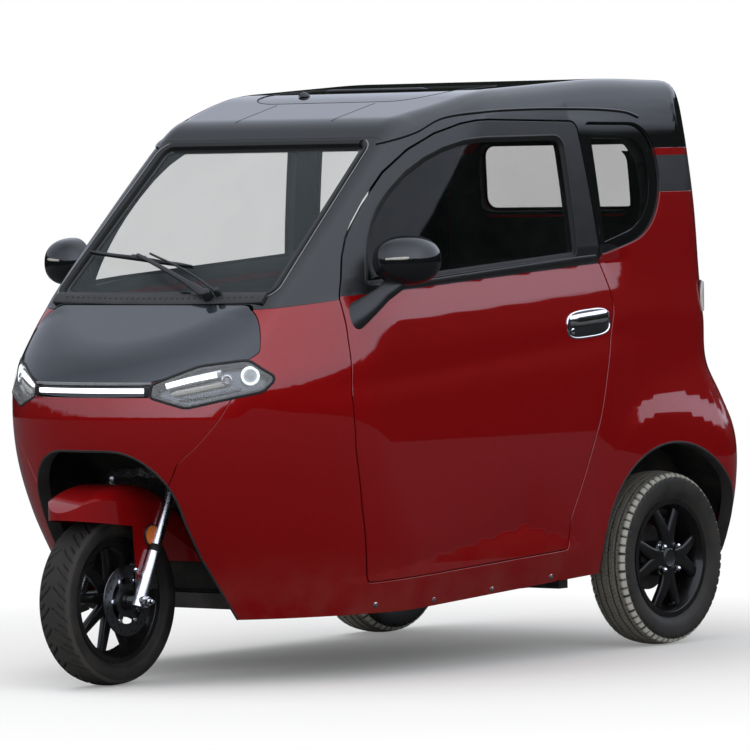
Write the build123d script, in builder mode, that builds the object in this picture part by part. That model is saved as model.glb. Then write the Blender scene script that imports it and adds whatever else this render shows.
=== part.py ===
"""Three wheeled cabin car: one steered wheel in front, two driven wheels behind.

Millimetres. The front is -Y, the car's left side is +X, the ground is Z = 0.
Every moving body is drawn at rest: wheels straight, doors and boot lid closed.
"""

from build123d import *
from math import cos, radians, sin
import os

os.makedirs("parts", exist_ok=True)

# ---- driving dimensions ------------------------------------------------------
WHEELBASE = 1785.0
TRACK = 1010.0
FRONT_TYRE_R, FRONT_TYRE_W = 229.5, 112.0
REAR_TYRE_R, REAR_TYRE_W = 247.0, 134.0
RIM_R = 158.0  # outside of the rim where the tyre's bead sits, 12 inch wheels
HALF_LENGTH = 1182.0
FRONT_AXLE_Y = FRONT_TYRE_R - HALF_LENGTH
REAR_AXLE_Y = FRONT_AXLE_Y + WHEELBASE
RAKE = 26.5  # steering axis leans back from vertical, degrees
STEER_Y0 = -940.0  # where the steering axis passes the height of the front axle

WALL = 34.0  # thickness of doors and body walls with their trim
GAP = 7.0  # shut line round doors and boot lid
SEAM = 3.0  # joint between fixed panels
GLASS = 5.0
GLASS_INSET = 9.0  # glass lies this far inside the painted surface

# ---- body form ---------------------------------------------------------------
JOIN = 51.0  # degrees from straight ahead where nose arc meets side arc
FLARE_Y = 480.0  # behind this the sides run out to the rear wings
# plan sections: height, nose Y, nose radius, half width at the doors,
# half width at the rear wings (always a little more), tail Y, tail corner radius
SECTIONS = [
    (150, -840, 465, 512, 516, 1140, 100),
    (300, -905, 500, 555, 572, 1168, 120),
    (450, -985, 525, 565, 603, 1178, 125),
    (600, -1035, 545, 567, 602, 1177, 130),
    (700, -1048, 550, 566, 585, 1150, 140),
    (800, -1045, 550, 562, 567, 1112, 145),
    (920, -985, 530, 553, 556, 1103, 135),
    (1030, -915, 495, 540, 544, 1100, 130),
    (1250, -680, 500, 520, 526, 1092, 115),
    (1450, -470, 480, 496, 501, 1080, 105),
    (1640, -260, 460, 464, 468, 1065, 95),
]
# bonnet, windscreen and roof line in side view: Y, Z, corner radius
TOP_LINE = [
    (-1300, 60, 0),
    (-1300, 700, 0),
    (-1056, 700, 0),
    (-1056, 840, 130),
    (-725, 1022, 25),
    (-192, 1502, 150),
    (130, 1580, 900),
    (700, 1612, 2500),
    (1074, 1602, 75),
    (1120, 1300, 0),
    (1300, 1300, 0),
    (1300, 60, 0),
]


def outline(corners, plane, grow=0.0):
    """Flat face through corner points (a, b, radius), grown all round by `grow`."""
    with BuildSketch(plane) as sketch:
        with BuildLine():
            FilletPolyline(
                *[(a, b) for a, b, _ in corners],
                radius=[r for _, _, r in corners],
                close=True,
            )
        make_face()
        if grow:
            offset(amount=grow, kind=Kind.INTERSECTION)
    return sketch.sketch


def prism_x(corners, x_from, x_to, grow=0.0):
    """Side-view outline (Y, Z, radius) carried across the car from x_from to x_to."""
    with BuildPart(mode=Mode.PRIVATE) as prism:
        extrude(outline(corners, Plane.YZ.offset(x_from), grow), amount=x_to - x_from)
    return prism.part


def prism_y(corners, y_from, y_to, grow=0.0):
    """Front-view outline (X, Z, radius) carried along the car from y_from to y_to."""
    with BuildPart(mode=Mode.PRIVATE) as prism:
        extrude(outline(corners, Plane.XZ.offset(-y_from), grow), amount=y_from - y_to)
    return prism.part


def block(x, y, z):
    """Box between two limits on each axis."""
    size = [b - a for a, b in (x, y, z)]
    centre = tuple((a + b) / 2 for a, b in (x, y, z))
    with BuildPart(mode=Mode.PRIVATE) as part:
        with Locations(centre):
            Box(*size)
    return part.part


def plan_section(wall, z, nose, r_nose, half, half_rear, tail, r_tail):
    """Closed plan outline at height z: nose arc, side arcs, sides, tail corners, tail."""
    nose, r_nose, half, half_rear = nose + wall, r_nose - wall, half - wall, half_rear - wall
    tail, r_tail = tail - wall, r_tail - wall
    join, middle = radians(JOIN), radians((JOIN + 90) / 2)
    r_side = (half - r_nose * sin(join)) / (1 - sin(join))
    x_join, y_join = r_nose * sin(join), nose + r_nose * (1 - cos(join))
    x_side, y_side = x_join - r_side * sin(join), y_join + r_side * cos(join)
    with BuildSketch(Plane.XY.offset(z)) as section:
        with BuildLine():
            ThreePointArc((-x_join, y_join), (0, nose), (x_join, y_join))
            for s in (1, -1):
                ThreePointArc(
                    (s * x_join, y_join),
                    (s * (x_side + r_side * sin(middle)), y_side - r_side * cos(middle)),
                    (s * half, y_side),
                )
                Line((s * half, y_side), (s * half, FLARE_Y))
                Line((s * half, FLARE_Y), (s * half_rear, tail - r_tail))
                RadiusArc(
                    (s * half_rear, tail - r_tail), (s * (half_rear - r_tail), tail), -s * r_tail
                )
            Line((half_rear - r_tail, tail), (r_tail - half_rear, tail))
        make_face()
    return section.sketch


def body_form(wall):
    """Solid body form, `wall` inside the painted surface."""
    with BuildPart() as form:
        loft([plan_section(wall, *row) for row in SECTIONS])
        extrude(outline(TOP_LINE, Plane.YZ, -wall), amount=800, both=True, mode=Mode.INTERSECT)
    return form.part


# ---- shut lines and openings, side view unless said: Y, Z, corner radius ------
DOOR = [
    (-470, 258, 12),
    (-600, 690, 1000),
    (-545, 1024, 12),
    (-496, 1166, 40),
    (-300, 1366, 200),
    (-104, 1470, 200),
    (60, 1499, 200),
    (510, 1490, 30),
    (560, 1107, 12),
    (600, 975, 90),
    (500, 650, 600),
    (365, 385, 90),
    (365, 300, 20),
]
DOOR_WINDOW = [
    (-458, 1056, 15),
    (-415, 1205, 50),
    (-120, 1438, 300),
    (440, 1452, 40),
    (456, 1112, 15),
]
QUARTER_GLASS = [
    (548, 1486, 20),
    (852, 1482, 105),
    (880, 1190, 190),
    (566, 1112, 20),
]
REAR_BAND = [(800, 1289, 0), (1300, 1289, 0), (1300, 1411, 0), (800, 1411, 0)]
BONNET = [
    (-1150, 808, 0),
    (-1003, 808, 0),
    (-919, 857, 40),
    (-828, 872, 30),
    (-800, 890, 30),
    (-752, 1000, 10),
    (-728, 1026, 0),
    (-728, 1200, 0),
    (-1150, 1200, 0),
]
NOSE = [
    (-1150, 400, 0),
    (-966, 400, 0),
    (-966, 600, 60),
    (-880, 775, 0),
    (-880, 808, 0),
    (-1150, 808, 0),
]
FRONT_SIDE = [
    (-1150, 168, 0),
    (-300, 176, 0),
    (340, 213, 0),
    (340, 330, 0),
    (-400, 330, 0),
    (-400, 1021, 0),
    (-545, 1021, 0),
    (-752, 1000, 0),
    (-1150, 1000, 0),
]
SURROUND = [
    (-1150, 1003, 0),
    (-752, 1003, 0),
    (-530, 1024, 0),
    (-470, 1160, 0),
    (-243 - SEAM, 1365, 0),
    (-243 - SEAM, 1750, 0),
    (-1150, 1750, 0),
]
ROOF = [
    (-243, 1330, 0),
    (480, 1330, 0),
    (480, 1106, 0),
    (574, 1106, 0),
    (574, 1300, 0),
    (700, 1414, 0),
    (1300, 1414, 0),
    (1300, 1750, 0),
    (-243, 1750, 0),
]
REAR_QUARTER = [
    (340 + SEAM, 213, 0),
    (620, 228, 0),
    (1300, 262, 0),
    (1300, 1289 - SEAM, 0),
    (700, 1289 - SEAM, 0),
    (574 + SEAM, 1200, 0),
    (574 + SEAM, 1106 - SEAM, 0),
    (500, 1106 - SEAM, 0),
    (500, 1000, 0),
    (400, 700, 0),
    (340 + SEAM, 420, 0),
]
# front view: X, Z, corner radius
FRONT_ARCH = [
    (-312, 40, 0),
    (-254, 330, 300),
    (-240, 632, 165),
    (240, 632, 165),
    (254, 330, 300),
    (312, 40, 0),
]
HEADLAMP = [
    (207, 808, 0),
    (207, 776, 6),
    (294, 748, 30),
    (446, 788, 20),
    (463, 822, 14),
    (407, 869, 25),
    (312, 855, 60),
]
BOOT = [
    (-430, 620, 60),
    (-414, 1290, 40),
    (-345, 1462, 60),
    (345, 1462, 60),
    (414, 1290, 40),
    (430, 620, 60),
]
REAR_WINDOW = [(-285, 1232, 45), (-280, 1436, 45), (280, 1436, 45), (285, 1232, 45)]
LIGHT_BAR_X, LIGHT_BAR_Z = 205.0, (774.0, 808.0)
REAR_ARCH_Y, REAR_ARCH_Z, REAR_ARCH_R = 822.0, 277.0, 300.0

# ---- painted shell --------------------------------------------------------------
ROOF_EDGE_R = 45.0
with BuildPart() as painted:
    add(body_form(0))
    roof_edges = painted.edges().filter_by(lambda e: abs(e.center().X) > 390 and e.center().Z > 1480)
    fillet(roof_edges, ROOF_EDGE_R)
glass_outside = body_form(GLASS_INSET)
glass_inside = body_form(GLASS_INSET + GLASS)
cavity = body_form(WALL)

with BuildPart() as shell:
    add(painted.part)
    add(cavity, mode=Mode.SUBTRACT)


def save(piece, name):
    """Label one finished piece and write it under its node's name."""
    piece.label = name
    export_step(piece, f"parts/{name}.step")


def save_pair(left, name):
    """Write a left-hand piece and its mirror image as two nodes."""
    save(left, f"{name}_left")
    save(left.mirror(Plane.YZ), f"{name}_right")


def both(piece):
    """The piece and its mirror image."""
    return [piece, piece.mirror(Plane.YZ)]


def tube(start, end, radius, bore=0.0):
    """Round bar or tube between two points."""
    path = Vector(*end) - Vector(*start)
    with BuildPart(mode=Mode.PRIVATE) as part:
        with BuildSketch(Plane(origin=start, z_dir=path)):
            Circle(radius)
            if bore:
                Circle(bore, mode=Mode.SUBTRACT)
        extrude(amount=path.length)
    return part.part


# ---- body panels ------------------------------------------------------------------
DOOR_X = 395.0  # doors and their holes lie outside this half width
door_hole = prism_x(DOOR, DOOR_X, 800, GAP / 2)
boot_hole = prism_y(BOOT, 880, 1300, GAP / 2)
front_arch = prism_y(FRONT_ARCH, -1300, -700)
lamp_hole = prism_y(HEADLAMP, -1200, -700, SEAM / 2)
bonnet_hole = prism_x(BONNET, -700, 700, SEAM / 2)
nose_hole = prism_x(NOSE, -700, 700, SEAM / 2)
tail_hole = block((-431.5, 431.5), (900, 1300), (200, 616.5))
bar_hole = block((-LIGHT_BAR_X, LIGHT_BAR_X), (-1200, -900), LIGHT_BAR_Z)
rear_arch = tube((420, REAR_ARCH_Y, REAR_ARCH_Z), (800, REAR_ARCH_Y, REAR_ARCH_Z), REAR_ARCH_R)

with BuildPart() as nose_panel:
    add(shell.part)
    add(prism_x(NOSE, -700, 700, -SEAM / 2), mode=Mode.INTERSECT)
    add(front_arch, mode=Mode.SUBTRACT)
    add(both(lamp_hole), mode=Mode.SUBTRACT)
    add(bar_hole, mode=Mode.SUBTRACT)
save(nose_panel.part, "nose_panel")

with BuildPart() as bonnet:
    add(shell.part)
    add(prism_x(BONNET, -700, 700, -SEAM / 2), mode=Mode.INTERSECT)
    add(both(lamp_hole), mode=Mode.SUBTRACT)
save(bonnet.part, "bonnet")

with BuildPart() as light_bar:
    add(shell.part)
    add(block((-204, 204), (-1200, -900), (775, 807)), mode=Mode.INTERSECT)
save(light_bar.part, "light_bar")

with BuildPart() as headlamps:
    add(shell.part)
    add(both(prism_y(HEADLAMP, -1200, -700, -SEAM / 2)), mode=Mode.INTERSECT)
save(headlamps.part, "headlamps")

with BuildPart() as front_side:
    add(shell.part)
    add(prism_x(FRONT_SIDE, 180, 700), mode=Mode.INTERSECT)
    add([door_hole, front_arch, lamp_hole, bonnet_hole, nose_hole], mode=Mode.SUBTRACT)
    add(block((0, 340), (-800, -400), (900, 1100)), mode=Mode.SUBTRACT)
save_pair(front_side.part, "front_side")

# windscreen: flat, drawn on its own sloping plane from the cowl up
SCREEN_FOOT, SCREEN_HEAD = (-725.0, 1022.0), (-192.0, 1502.0)
SCREEN = [(-386, 22, 45), (-366, 632, 40), (366, 632, 40), (386, 22, 45)]
screen_run = Vector(0, SCREEN_HEAD[0] - SCREEN_FOOT[0], SCREEN_HEAD[1] - SCREEN_FOOT[1])
screen_plane = Plane(
    origin=(0, *SCREEN_FOOT), x_dir=(1, 0, 0), z_dir=Vector(1, 0, 0).cross(screen_run)
)
with BuildPart() as windscreen_glass:
    extrude(outline(SCREEN, screen_plane.offset(-GLASS_INSET), 10), amount=-GLASS)
with BuildPart() as screen_hole:
    extrude(outline(SCREEN, screen_plane.offset(60)), amount=-160)
    extrude(outline(SCREEN, screen_plane.offset(-GLASS_INSET), 12), amount=-80)
save(windscreen_glass.part, "windscreen_glass")

with BuildPart() as windscreen_surround:
    add(shell.part)
    add(prism_x(SURROUND, -700, 700), mode=Mode.INTERSECT)
    add([*both(door_hole), bonnet_hole, screen_hole.part], mode=Mode.SUBTRACT)
save(windscreen_surround.part, "windscreen_surround")

with BuildPart() as roof_panel:
    add(shell.part)
    add(prism_x(ROOF, -700, 700), mode=Mode.INTERSECT)
    add([*both(door_hole), boot_hole, screen_hole.part], mode=Mode.SUBTRACT)
    add(both(prism_x(QUARTER_GLASS, 300, 700, SEAM)), mode=Mode.SUBTRACT)
save(roof_panel.part, "roof_panel")

with BuildPart() as quarter_glass:
    add(glass_outside)
    add(prism_x(QUARTER_GLASS, 300, 700, SEAM - 1), mode=Mode.INTERSECT)
    add(glass_inside, mode=Mode.SUBTRACT)
save(Compound(children=both(quarter_glass.part)), "quarter_glasses")

quarter_hole = prism_x(QUARTER_GLASS, 300, 700, SEAM)
with BuildPart() as rear_band:
    add(shell.part)
    add(prism_x(REAR_BAND, 300, 700), mode=Mode.INTERSECT)
    add([quarter_hole, boot_hole, prism_x(ROOF, 300, 700, SEAM)], mode=Mode.SUBTRACT)
save(Compound(children=both(rear_band.part)), "rear_band")

with BuildPart() as rear_quarter:
    add(shell.part)
    add(prism_x(REAR_QUARTER, 300, 700), mode=Mode.INTERSECT)
    add([door_hole, boot_hole, rear_arch, tail_hole, quarter_hole], mode=Mode.SUBTRACT)
save_pair(rear_quarter.part, "rear_quarter")

with BuildPart() as tail_panel:
    add(shell.part)
    add(block((-430, 430), (900, 1300), (254, 613)), mode=Mode.INTERSECT)
save(tail_panel.part, "tail_panel")

# ---- doors -------------------------------------------------------------------------
with BuildPart() as door:
    add(shell.part)
    add(prism_x(DOOR, DOOR_X, 800, -GAP / 2), mode=Mode.INTERSECT)
    add(prism_x(DOOR_WINDOW, DOOR_X, 800), mode=Mode.SUBTRACT)
    with BuildPart(mode=Mode.PRIVATE) as rebate:
        add(glass_outside)
        add(prism_x(DOOR_WINDOW, 150, 800, 12), mode=Mode.INTERSECT)
    add(rebate.part, mode=Mode.SUBTRACT)
with BuildPart() as door_glass:
    add(glass_outside)
    add(prism_x(DOOR_WINDOW, 150, 800, 11), mode=Mode.INTERSECT)
    add(glass_inside, mode=Mode.SUBTRACT)
save_pair(door.part, "door")
save_pair(door_glass.part, "door_glass")

# ---- boot lid ----------------------------------------------------------------------
with BuildPart() as boot_lid:
    add(shell.part)
    add(prism_y(BOOT, 880, 1300, -GAP / 2), mode=Mode.INTERSECT)
    add(prism_y(REAR_WINDOW, 880, 1300), mode=Mode.SUBTRACT)
    with BuildPart(mode=Mode.PRIVATE) as boot_rebate:
        add(glass_outside)
        add(prism_y(REAR_WINDOW, 880, 1300, 12), mode=Mode.INTERSECT)
    add(boot_rebate.part, mode=Mode.SUBTRACT)
with BuildPart() as rear_window:
    add(glass_outside)
    add(prism_y(REAR_WINDOW, 880, 1300, 11), mode=Mode.INTERSECT)
    add(glass_inside, mode=Mode.SUBTRACT)
save(boot_lid.part, "boot_lid")
save(rear_window.part, "rear_window")

# ---- door furniture ----------------------------------------------------------------
HANDLE_Y, HANDLE_Z = (372.0, 571.0), 925.0
with BuildPart() as door_handle:
    # oval bezel, then the grip that stands out of it
    for length, height, face in ((199, 62, 562), (181, 24, 574)):
        with BuildSketch(Plane.YZ.offset(500)):
            with Locations((sum(HANDLE_Y) / 2, HANDLE_Z)):
                SlotOverall(length, height)
        extrude(amount=face - 500)
    add(painted.part, mode=Mode.SUBTRACT)
save_pair(door_handle.part, "door_handle")

# mirror: a foot on the door skin carries a round-nosed shell with a flat rear face
MIRROR, MIRROR_HALF, MIRROR_NOSE = (630.0, -380.0, 1130.0), (96.0, 68.0), 74.0
with BuildPart() as door_mirror:
    with BuildSketch(Plane.XZ.offset(-MIRROR[1])):
        with Locations((MIRROR[0], MIRROR[2])):
            Ellipse(*MIRROR_HALF)
    extrude(amount=MIRROR_NOSE)
    fillet(door_mirror.faces().sort_by(Axis.Y)[0].edges(), MIRROR_NOSE - 30)
    add(tube((528, -500, 980), (606, -425, 1085), 24))
    add(painted.part, mode=Mode.SUBTRACT)
save_pair(door_mirror.part, "door_mirror")


# ---- wheels --------------------------------------------------------------------------
def wheel_plane(x, y, r):
    """Radial section plane of a wheel: local x along the axle, local y up."""
    return Plane(origin=(x, y, r), x_dir=(1, 0, 0), z_dir=(0, -1, 0))


def tyre(x, y, radius, width, bead):
    """Tyre ring: straight beads, round shoulders and a crowned tread."""
    half, tread, drop = width / 2, width * 0.40, 7.0
    height = radius - RIM_R
    with BuildPart() as ring:
        with BuildSketch(wheel_plane(x, y, radius)):
            with BuildLine():
                FilletPolyline(
                    (tread, radius - drop),
                    (half, RIM_R + height * 0.62),
                    (half - 4, RIM_R + height * 0.36),
                    (bead, RIM_R + 14),
                    (bead, RIM_R),
                    (-bead, RIM_R),
                    (-bead, RIM_R + 14),
                    (4 - half, RIM_R + height * 0.36),
                    (-half, RIM_R + height * 0.62),
                    (-tread, radius - drop),
                    radius=[8, 12, 6, 0, 0, 6, 12, 8],
                )
                ThreePointArc((-tread, radius - drop), (0, radius), (tread, radius - drop))
            make_face()
        revolve(axis=Axis((x, y, radius), (1, 0, 0)))
    return ring.part


def rim(x, y, radius, bead, face, hub_r, hub, bore_r, spokes):
    """Cast rim: flanged barrel, hub from hub[0] to hub[1] along X, and tapered spokes
    in the plane x + face."""
    centre = Plane(origin=(x + face, y, radius), x_dir=(0, 1, 0), z_dir=(1, 0, 0))
    with BuildPart() as casting:
        with BuildSketch(wheel_plane(x, y, radius)):
            with BuildLine():
                Polyline(
                    (-bead - 5, RIM_R - 8),
                    (bead + 5, RIM_R - 8),
                    (bead + 5, RIM_R + 10),
                    (bead, RIM_R + 10),
                    (bead, RIM_R),
                    (-bead, RIM_R),
                    (-bead, RIM_R + 10),
                    (-bead - 5, RIM_R + 10),
                    close=True,
                )
            make_face()
        revolve(axis=Axis((x, y, radius), (1, 0, 0)))
        with BuildSketch(Plane(origin=(x + hub[0], y, radius), z_dir=(1, 0, 0))):
            Circle(hub_r)
        extrude(amount=hub[1] - hub[0])
        with BuildSketch(centre):
            with PolarLocations(0, spokes):
                with BuildLine():
                    Polyline(
                        (hub_r - 6, -13), (RIM_R - 5, -7), (RIM_R - 5, 7), (hub_r - 6, 13), close=True
                    )
                make_face()
        extrude(amount=8, both=True)
        with BuildSketch(Plane(origin=(x + hub[0] - 1, y, radius), z_dir=(1, 0, 0))):
            Circle(bore_r)
        extrude(amount=hub[1] - hub[0] + 2, mode=Mode.SUBTRACT)
    return casting.part


FRONT_BEAD, REAR_BEAD = 34.0, 50.0
DISC_R, DISC_X, DISC_T = 96.0, 66.0, 4.0  # front brake disc on the hub's left side
FRONT_BORE_R, REAR_BORE_R = 9.0, 15.0
FIT = 0.05  # radial running clearance of a shaft in its bore
save(tyre(0, FRONT_AXLE_Y, FRONT_TYRE_R, FRONT_TYRE_W, FRONT_BEAD), "front_tyre")
with BuildPart() as front_rim:
    add(rim(0, FRONT_AXLE_Y, FRONT_TYRE_R, FRONT_BEAD, 6, 36, (-62, 76), FRONT_BORE_R, 9))
    with BuildSketch(Plane(origin=(DISC_X, FRONT_AXLE_Y, FRONT_TYRE_R), z_dir=(1, 0, 0))):
        Circle(DISC_R)
        Circle(30, mode=Mode.SUBTRACT)
        with PolarLocations(66, 8):
            Circle(9, mode=Mode.SUBTRACT)
    extrude(amount=DISC_T)
save(front_rim.part, "front_rim")
rear_x = TRACK / 2
rear_tyre = tyre(rear_x, REAR_AXLE_Y, REAR_TYRE_R, REAR_TYRE_W, REAR_BEAD)
rear_rim = rim(
    rear_x, REAR_AXLE_Y, REAR_TYRE_R, REAR_BEAD, 30, 48, (-20, 44), REAR_BORE_R, 12
)
save_pair(rear_tyre, "rear_tyre")
save_pair(rear_rim, "rear_rim")

# ---- steering -------------------------------------------------------------------------
rake = radians(RAKE)
up_fork = Vector(0, sin(rake), cos(rake))
AXLE_POINT = Vector(0, FRONT_AXLE_Y, FRONT_TYRE_R)
STEER_POINT = Vector(0, STEER_Y0, FRONT_TYRE_R)
LEG_X, CROWN_UP, CROWN_T = 112.0, 372.0, 24.0
TUBE_R, SLIDER_R, STEM_R = 14.0, 18.0, 17.0
BAR_UP = 705.0  # handlebar clamp, measured up the steering axis


def along(base, up, x=0.0, back=0.0):
    """Point `up` along the raked direction from base, moved sideways and backwards."""
    point = base + up_fork * up + Vector(x, back, 0)
    return (point.X, point.Y, point.Z)


def axle_bar(x_from, x_to, radius, back=0.0, up=0.0):
    """Round bar parallel to the front axle."""
    y, z = FRONT_AXLE_Y + back, FRONT_TYRE_R + up
    return tube((x_from, y, z), (x_to, y, z), radius)


# flange of the mudguard and its lugs on the fork, from the axle: back, up
FLANGE = [(-12, 260), (-9, 201), (0, 78), (8, 56), (20, 84), (104, 250), (104, 260)]
GUARD_X, GUARD_T = 104.0, 4.0
with BuildPart() as fork:
    for s in (1, -1):
        add(tube(along(AXLE_POINT, -18, s * LEG_X), along(AXLE_POINT, 150, s * LEG_X), SLIDER_R))
        add(tube(along(AXLE_POINT, 140, s * LEG_X), along(AXLE_POINT, CROWN_UP, s * LEG_X), TUBE_R))
        add(axle_bar(s * 78, s * 134, 15))
        add(axle_bar(s * GUARD_X, s * (GUARD_X + 12), 9, 16, 70))
    add(axle_bar(-LEG_X, LEG_X, FRONT_BORE_R - FIT))
    crown = Plane(origin=along(AXLE_POINT, CROWN_UP - CROWN_T), x_dir=(1, 0, 0), z_dir=up_fork)
    with BuildSketch(crown):
        SlotOverall(2 * LEG_X + 44, 44)
        Circle(32)
    extrude(amount=CROWN_T)
    add(tube(along(STEER_POINT, CROWN_UP - CROWN_T), along(STEER_POINT, BAR_UP + 20), STEM_R))
    # brake caliper on the left leg, astride the rear edge of the disc
    with BuildPart(mode=Mode.PRIVATE) as caliper:
        add(block((54, 104), (FRONT_AXLE_Y + 30, FRONT_AXLE_Y + 84), (258, 326)))
        add(axle_bar(DISC_X - 3, DISC_X + DISC_T + 3, DISC_R + 4), mode=Mode.SUBTRACT)
    add(caliper.part)
save(fork.part, "fork")

# mudguard: a hood over the tyre with a rounded nose, and side flanges down to the fork
GUARD_R, GUARD_EDGE_R = 310.0, 45.0
GUARD_SIDE = [(-320, 240), (-20, 202), (100, 200), (292, 86), (400, 86), (400, 420), (-320, 420)]
NOSE_Y, NOSE_LENGTH = -40.0, 152.0


def guard_form(wall):
    """Hood of the mudguard, `wall` inside its outer surface."""
    half = GUARD_X - wall
    with BuildPart(mode=Mode.PRIVATE) as hood:
        add(axle_bar(-half, half, GUARD_R - wall))
        fillet(hood.edges().filter_by(GeomType.CIRCLE), GUARD_EDGE_R - wall)
        with BuildSketch(Plane(origin=AXLE_POINT)) as plan:
            with Locations((0, NOSE_Y)):
                Ellipse(half, NOSE_LENGTH - wall)
            with Locations((0, NOSE_Y + 200)):
                Rectangle(2 * half, 400)
        extrude(amount=GUARD_R + 10, mode=Mode.INTERSECT)
    return hood.part


def guard_side(corners):
    """Flat face in side view from points (back, up) measured from the axle."""
    with BuildSketch(Plane(origin=AXLE_POINT, x_dir=(0, 1, 0), z_dir=(1, 0, 0))) as side:
        with BuildLine():
            Polyline(*corners, close=True)
        make_face()
    return side.sketch


with BuildPart() as front_mudguard:
    add(guard_form(0))
    extrude(guard_side(GUARD_SIDE), amount=2 * GUARD_X, both=True, mode=Mode.INTERSECT)
    add(guard_form(GUARD_T), mode=Mode.SUBTRACT)
    with BuildPart(mode=Mode.PRIVATE) as flanges:
        extrude(guard_side(FLANGE), amount=GUARD_X, both=True)
        extrude(
            guard_side(FLANGE), amount=GUARD_X - GUARD_T, both=True, mode=Mode.SUBTRACT
        )
    add(flanges.part)
    for s in (1, -1):  # room for the fork legs
        add(
            tube(along(AXLE_POINT, 30, s * LEG_X), along(AXLE_POINT, 350, s * LEG_X), SLIDER_R + 1),
            mode=Mode.SUBTRACT,
        )
save(front_mudguard.part, "front_mudguard")

GRIP_X, GRIP_Y, GRIP_Z = 290.0, -430.0, 955.0
BAR_FOOT = along(STEER_POINT, BAR_UP)
with BuildPart() as handlebar:
    add(tube(along(STEER_POINT, BAR_UP - 18), along(STEER_POINT, BAR_UP + 18), 27, STEM_R))
    for s in (1, -1):
        inner, outer = (s * 165, -520, 950), (s * GRIP_X, GRIP_Y, GRIP_Z)
        knee = (s * 120, -548, 946)
        add(tube((s * 31, BAR_FOOT[1], BAR_FOOT[2]), (s * 34, -560, 940), 11))
        add(tube((s * 30, -560, 940), knee, 11))
        add(tube(knee, inner, 11))
        add(tube(inner, outer, 12))
        mid = tuple(a + 0.35 * (b - a) for a, b in zip(inner, outer))
        add(tube(mid, outer, 17))
    add(tube((-40, -560, 940), (40, -560, 940), 11))
    with Locations(Location((0, -585, 990), (40, 0, 0))):
        Box(190, 96, 60)
    add(tube((0, -552, 922), (0, -582, 985), 8))
save(handlebar.part, "handlebar")

# ---- chassis --------------------------------------------------------------------------
RAIL_X, RAIL_W, RAIL_Z = 300.0, 40.0, (178.0, 232.0)
REAR_RAIL_Z = (338.0, 392.0)
HEAD_R, BRACE_R, BRACE_Y, BRACE_Z = 28.0, 17.0, -596.0, 662.0
TOW_EYE = (1094.0, 226.0)  # behind the tyres, so a cross pin slides in from either side


def steering_braces(grow):
    """Tubes from the steering head to the rails, down behind the wheel house."""
    with BuildPart(mode=Mode.PRIVATE) as braces:
        for s in (1, -1):
            top = (s * 210, BRACE_Y, BRACE_Z)
            add(tube(along(STEER_POINT, 560, s * 18), top, BRACE_R + grow))
            add(tube(top, (s * RAIL_X, BRACE_Y + 8, RAIL_Z[0] + 22), BRACE_R + grow))
        add(tube((-215, BRACE_Y, BRACE_Z), (215, BRACE_Y, BRACE_Z), 14 + grow))
    return braces.part


with BuildPart() as chassis_frame:
    for s in (1, -1):
        with BuildSketch(Plane.YZ.offset(s * RAIL_X)):
            with BuildLine():
                Polyline(
                    (-600, RAIL_Z[0]), (530, RAIL_Z[0]), (620, REAR_RAIL_Z[0]), (1090, REAR_RAIL_Z[0]),
                    (1090, REAR_RAIL_Z[1]), (592, REAR_RAIL_Z[1]), (502, RAIL_Z[1]), (-600, RAIL_Z[1]),
                    close=True,
                )
            make_face()
        extrude(amount=RAIL_W / 2, both=True)
    for y, z in ((-585, RAIL_Z), (-40, RAIL_Z), (430, RAIL_Z), (620, REAR_RAIL_Z), (1060, REAR_RAIL_Z)):
        reach = 480 if z == RAIL_Z and y > -500 else RAIL_X
        add(block((-reach, reach), (y - 20, y + 20), (z[0] + 6, z[1] - 6)))
    # towing tongue below the last cross member
    add(block((-6, 6), (1035, TOW_EYE[0] + 17), (TOW_EYE[1] - 26, 350)))
    add(tube((-10, *TOW_EYE), (10, *TOW_EYE), 11), mode=Mode.SUBTRACT)
save(chassis_frame.part, "chassis_frame")

with BuildPart() as steering_head:
    add(steering_braces(0))
    add(tube(along(STEER_POINT, 452), along(STEER_POINT, 600), HEAD_R))
    add(tube(along(STEER_POINT, 440), along(STEER_POINT, 620), STEM_R + FIT), mode=Mode.SUBTRACT)
    add(chassis_frame.part, mode=Mode.SUBTRACT)
save(steering_head.part, "steering_head")

FLOOR_Z, BACK_FLOOR_Z, SHEET = RAIL_Z[1], REAR_RAIL_Z[1], 8.0
BULKHEAD_Y, RISER_Y = -565.0, 500.0
inside = body_form(WALL + 8)  # what the fixed inner pieces keep within
with BuildPart() as floor_pan:
    add(block((-540, 540), (BULKHEAD_Y, RISER_Y), (FLOOR_Z, FLOOR_Z + SHEET)))
    add(block((-540, 540), (BULKHEAD_Y, BULKHEAD_Y + SHEET), (FLOOR_Z, 630)))
    add(block((-410, 410), (RISER_Y - SHEET, RISER_Y), (FLOOR_Z, BACK_FLOOR_Z + SHEET)))
    add(block((-410, 410), (RISER_Y - SHEET, 1130), (BACK_FLOOR_Z, BACK_FLOOR_Z + SHEET)))
    add(inside, mode=Mode.INTERSECT)
save(floor_pan.part, "floor_pan")

with BuildPart() as battery_pack:
    add(block((-220, 220), (-40, 380), (FLOOR_Z + SHEET, FLOOR_Z + SHEET + 250)))
save(battery_pack.part, "battery_pack")

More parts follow.
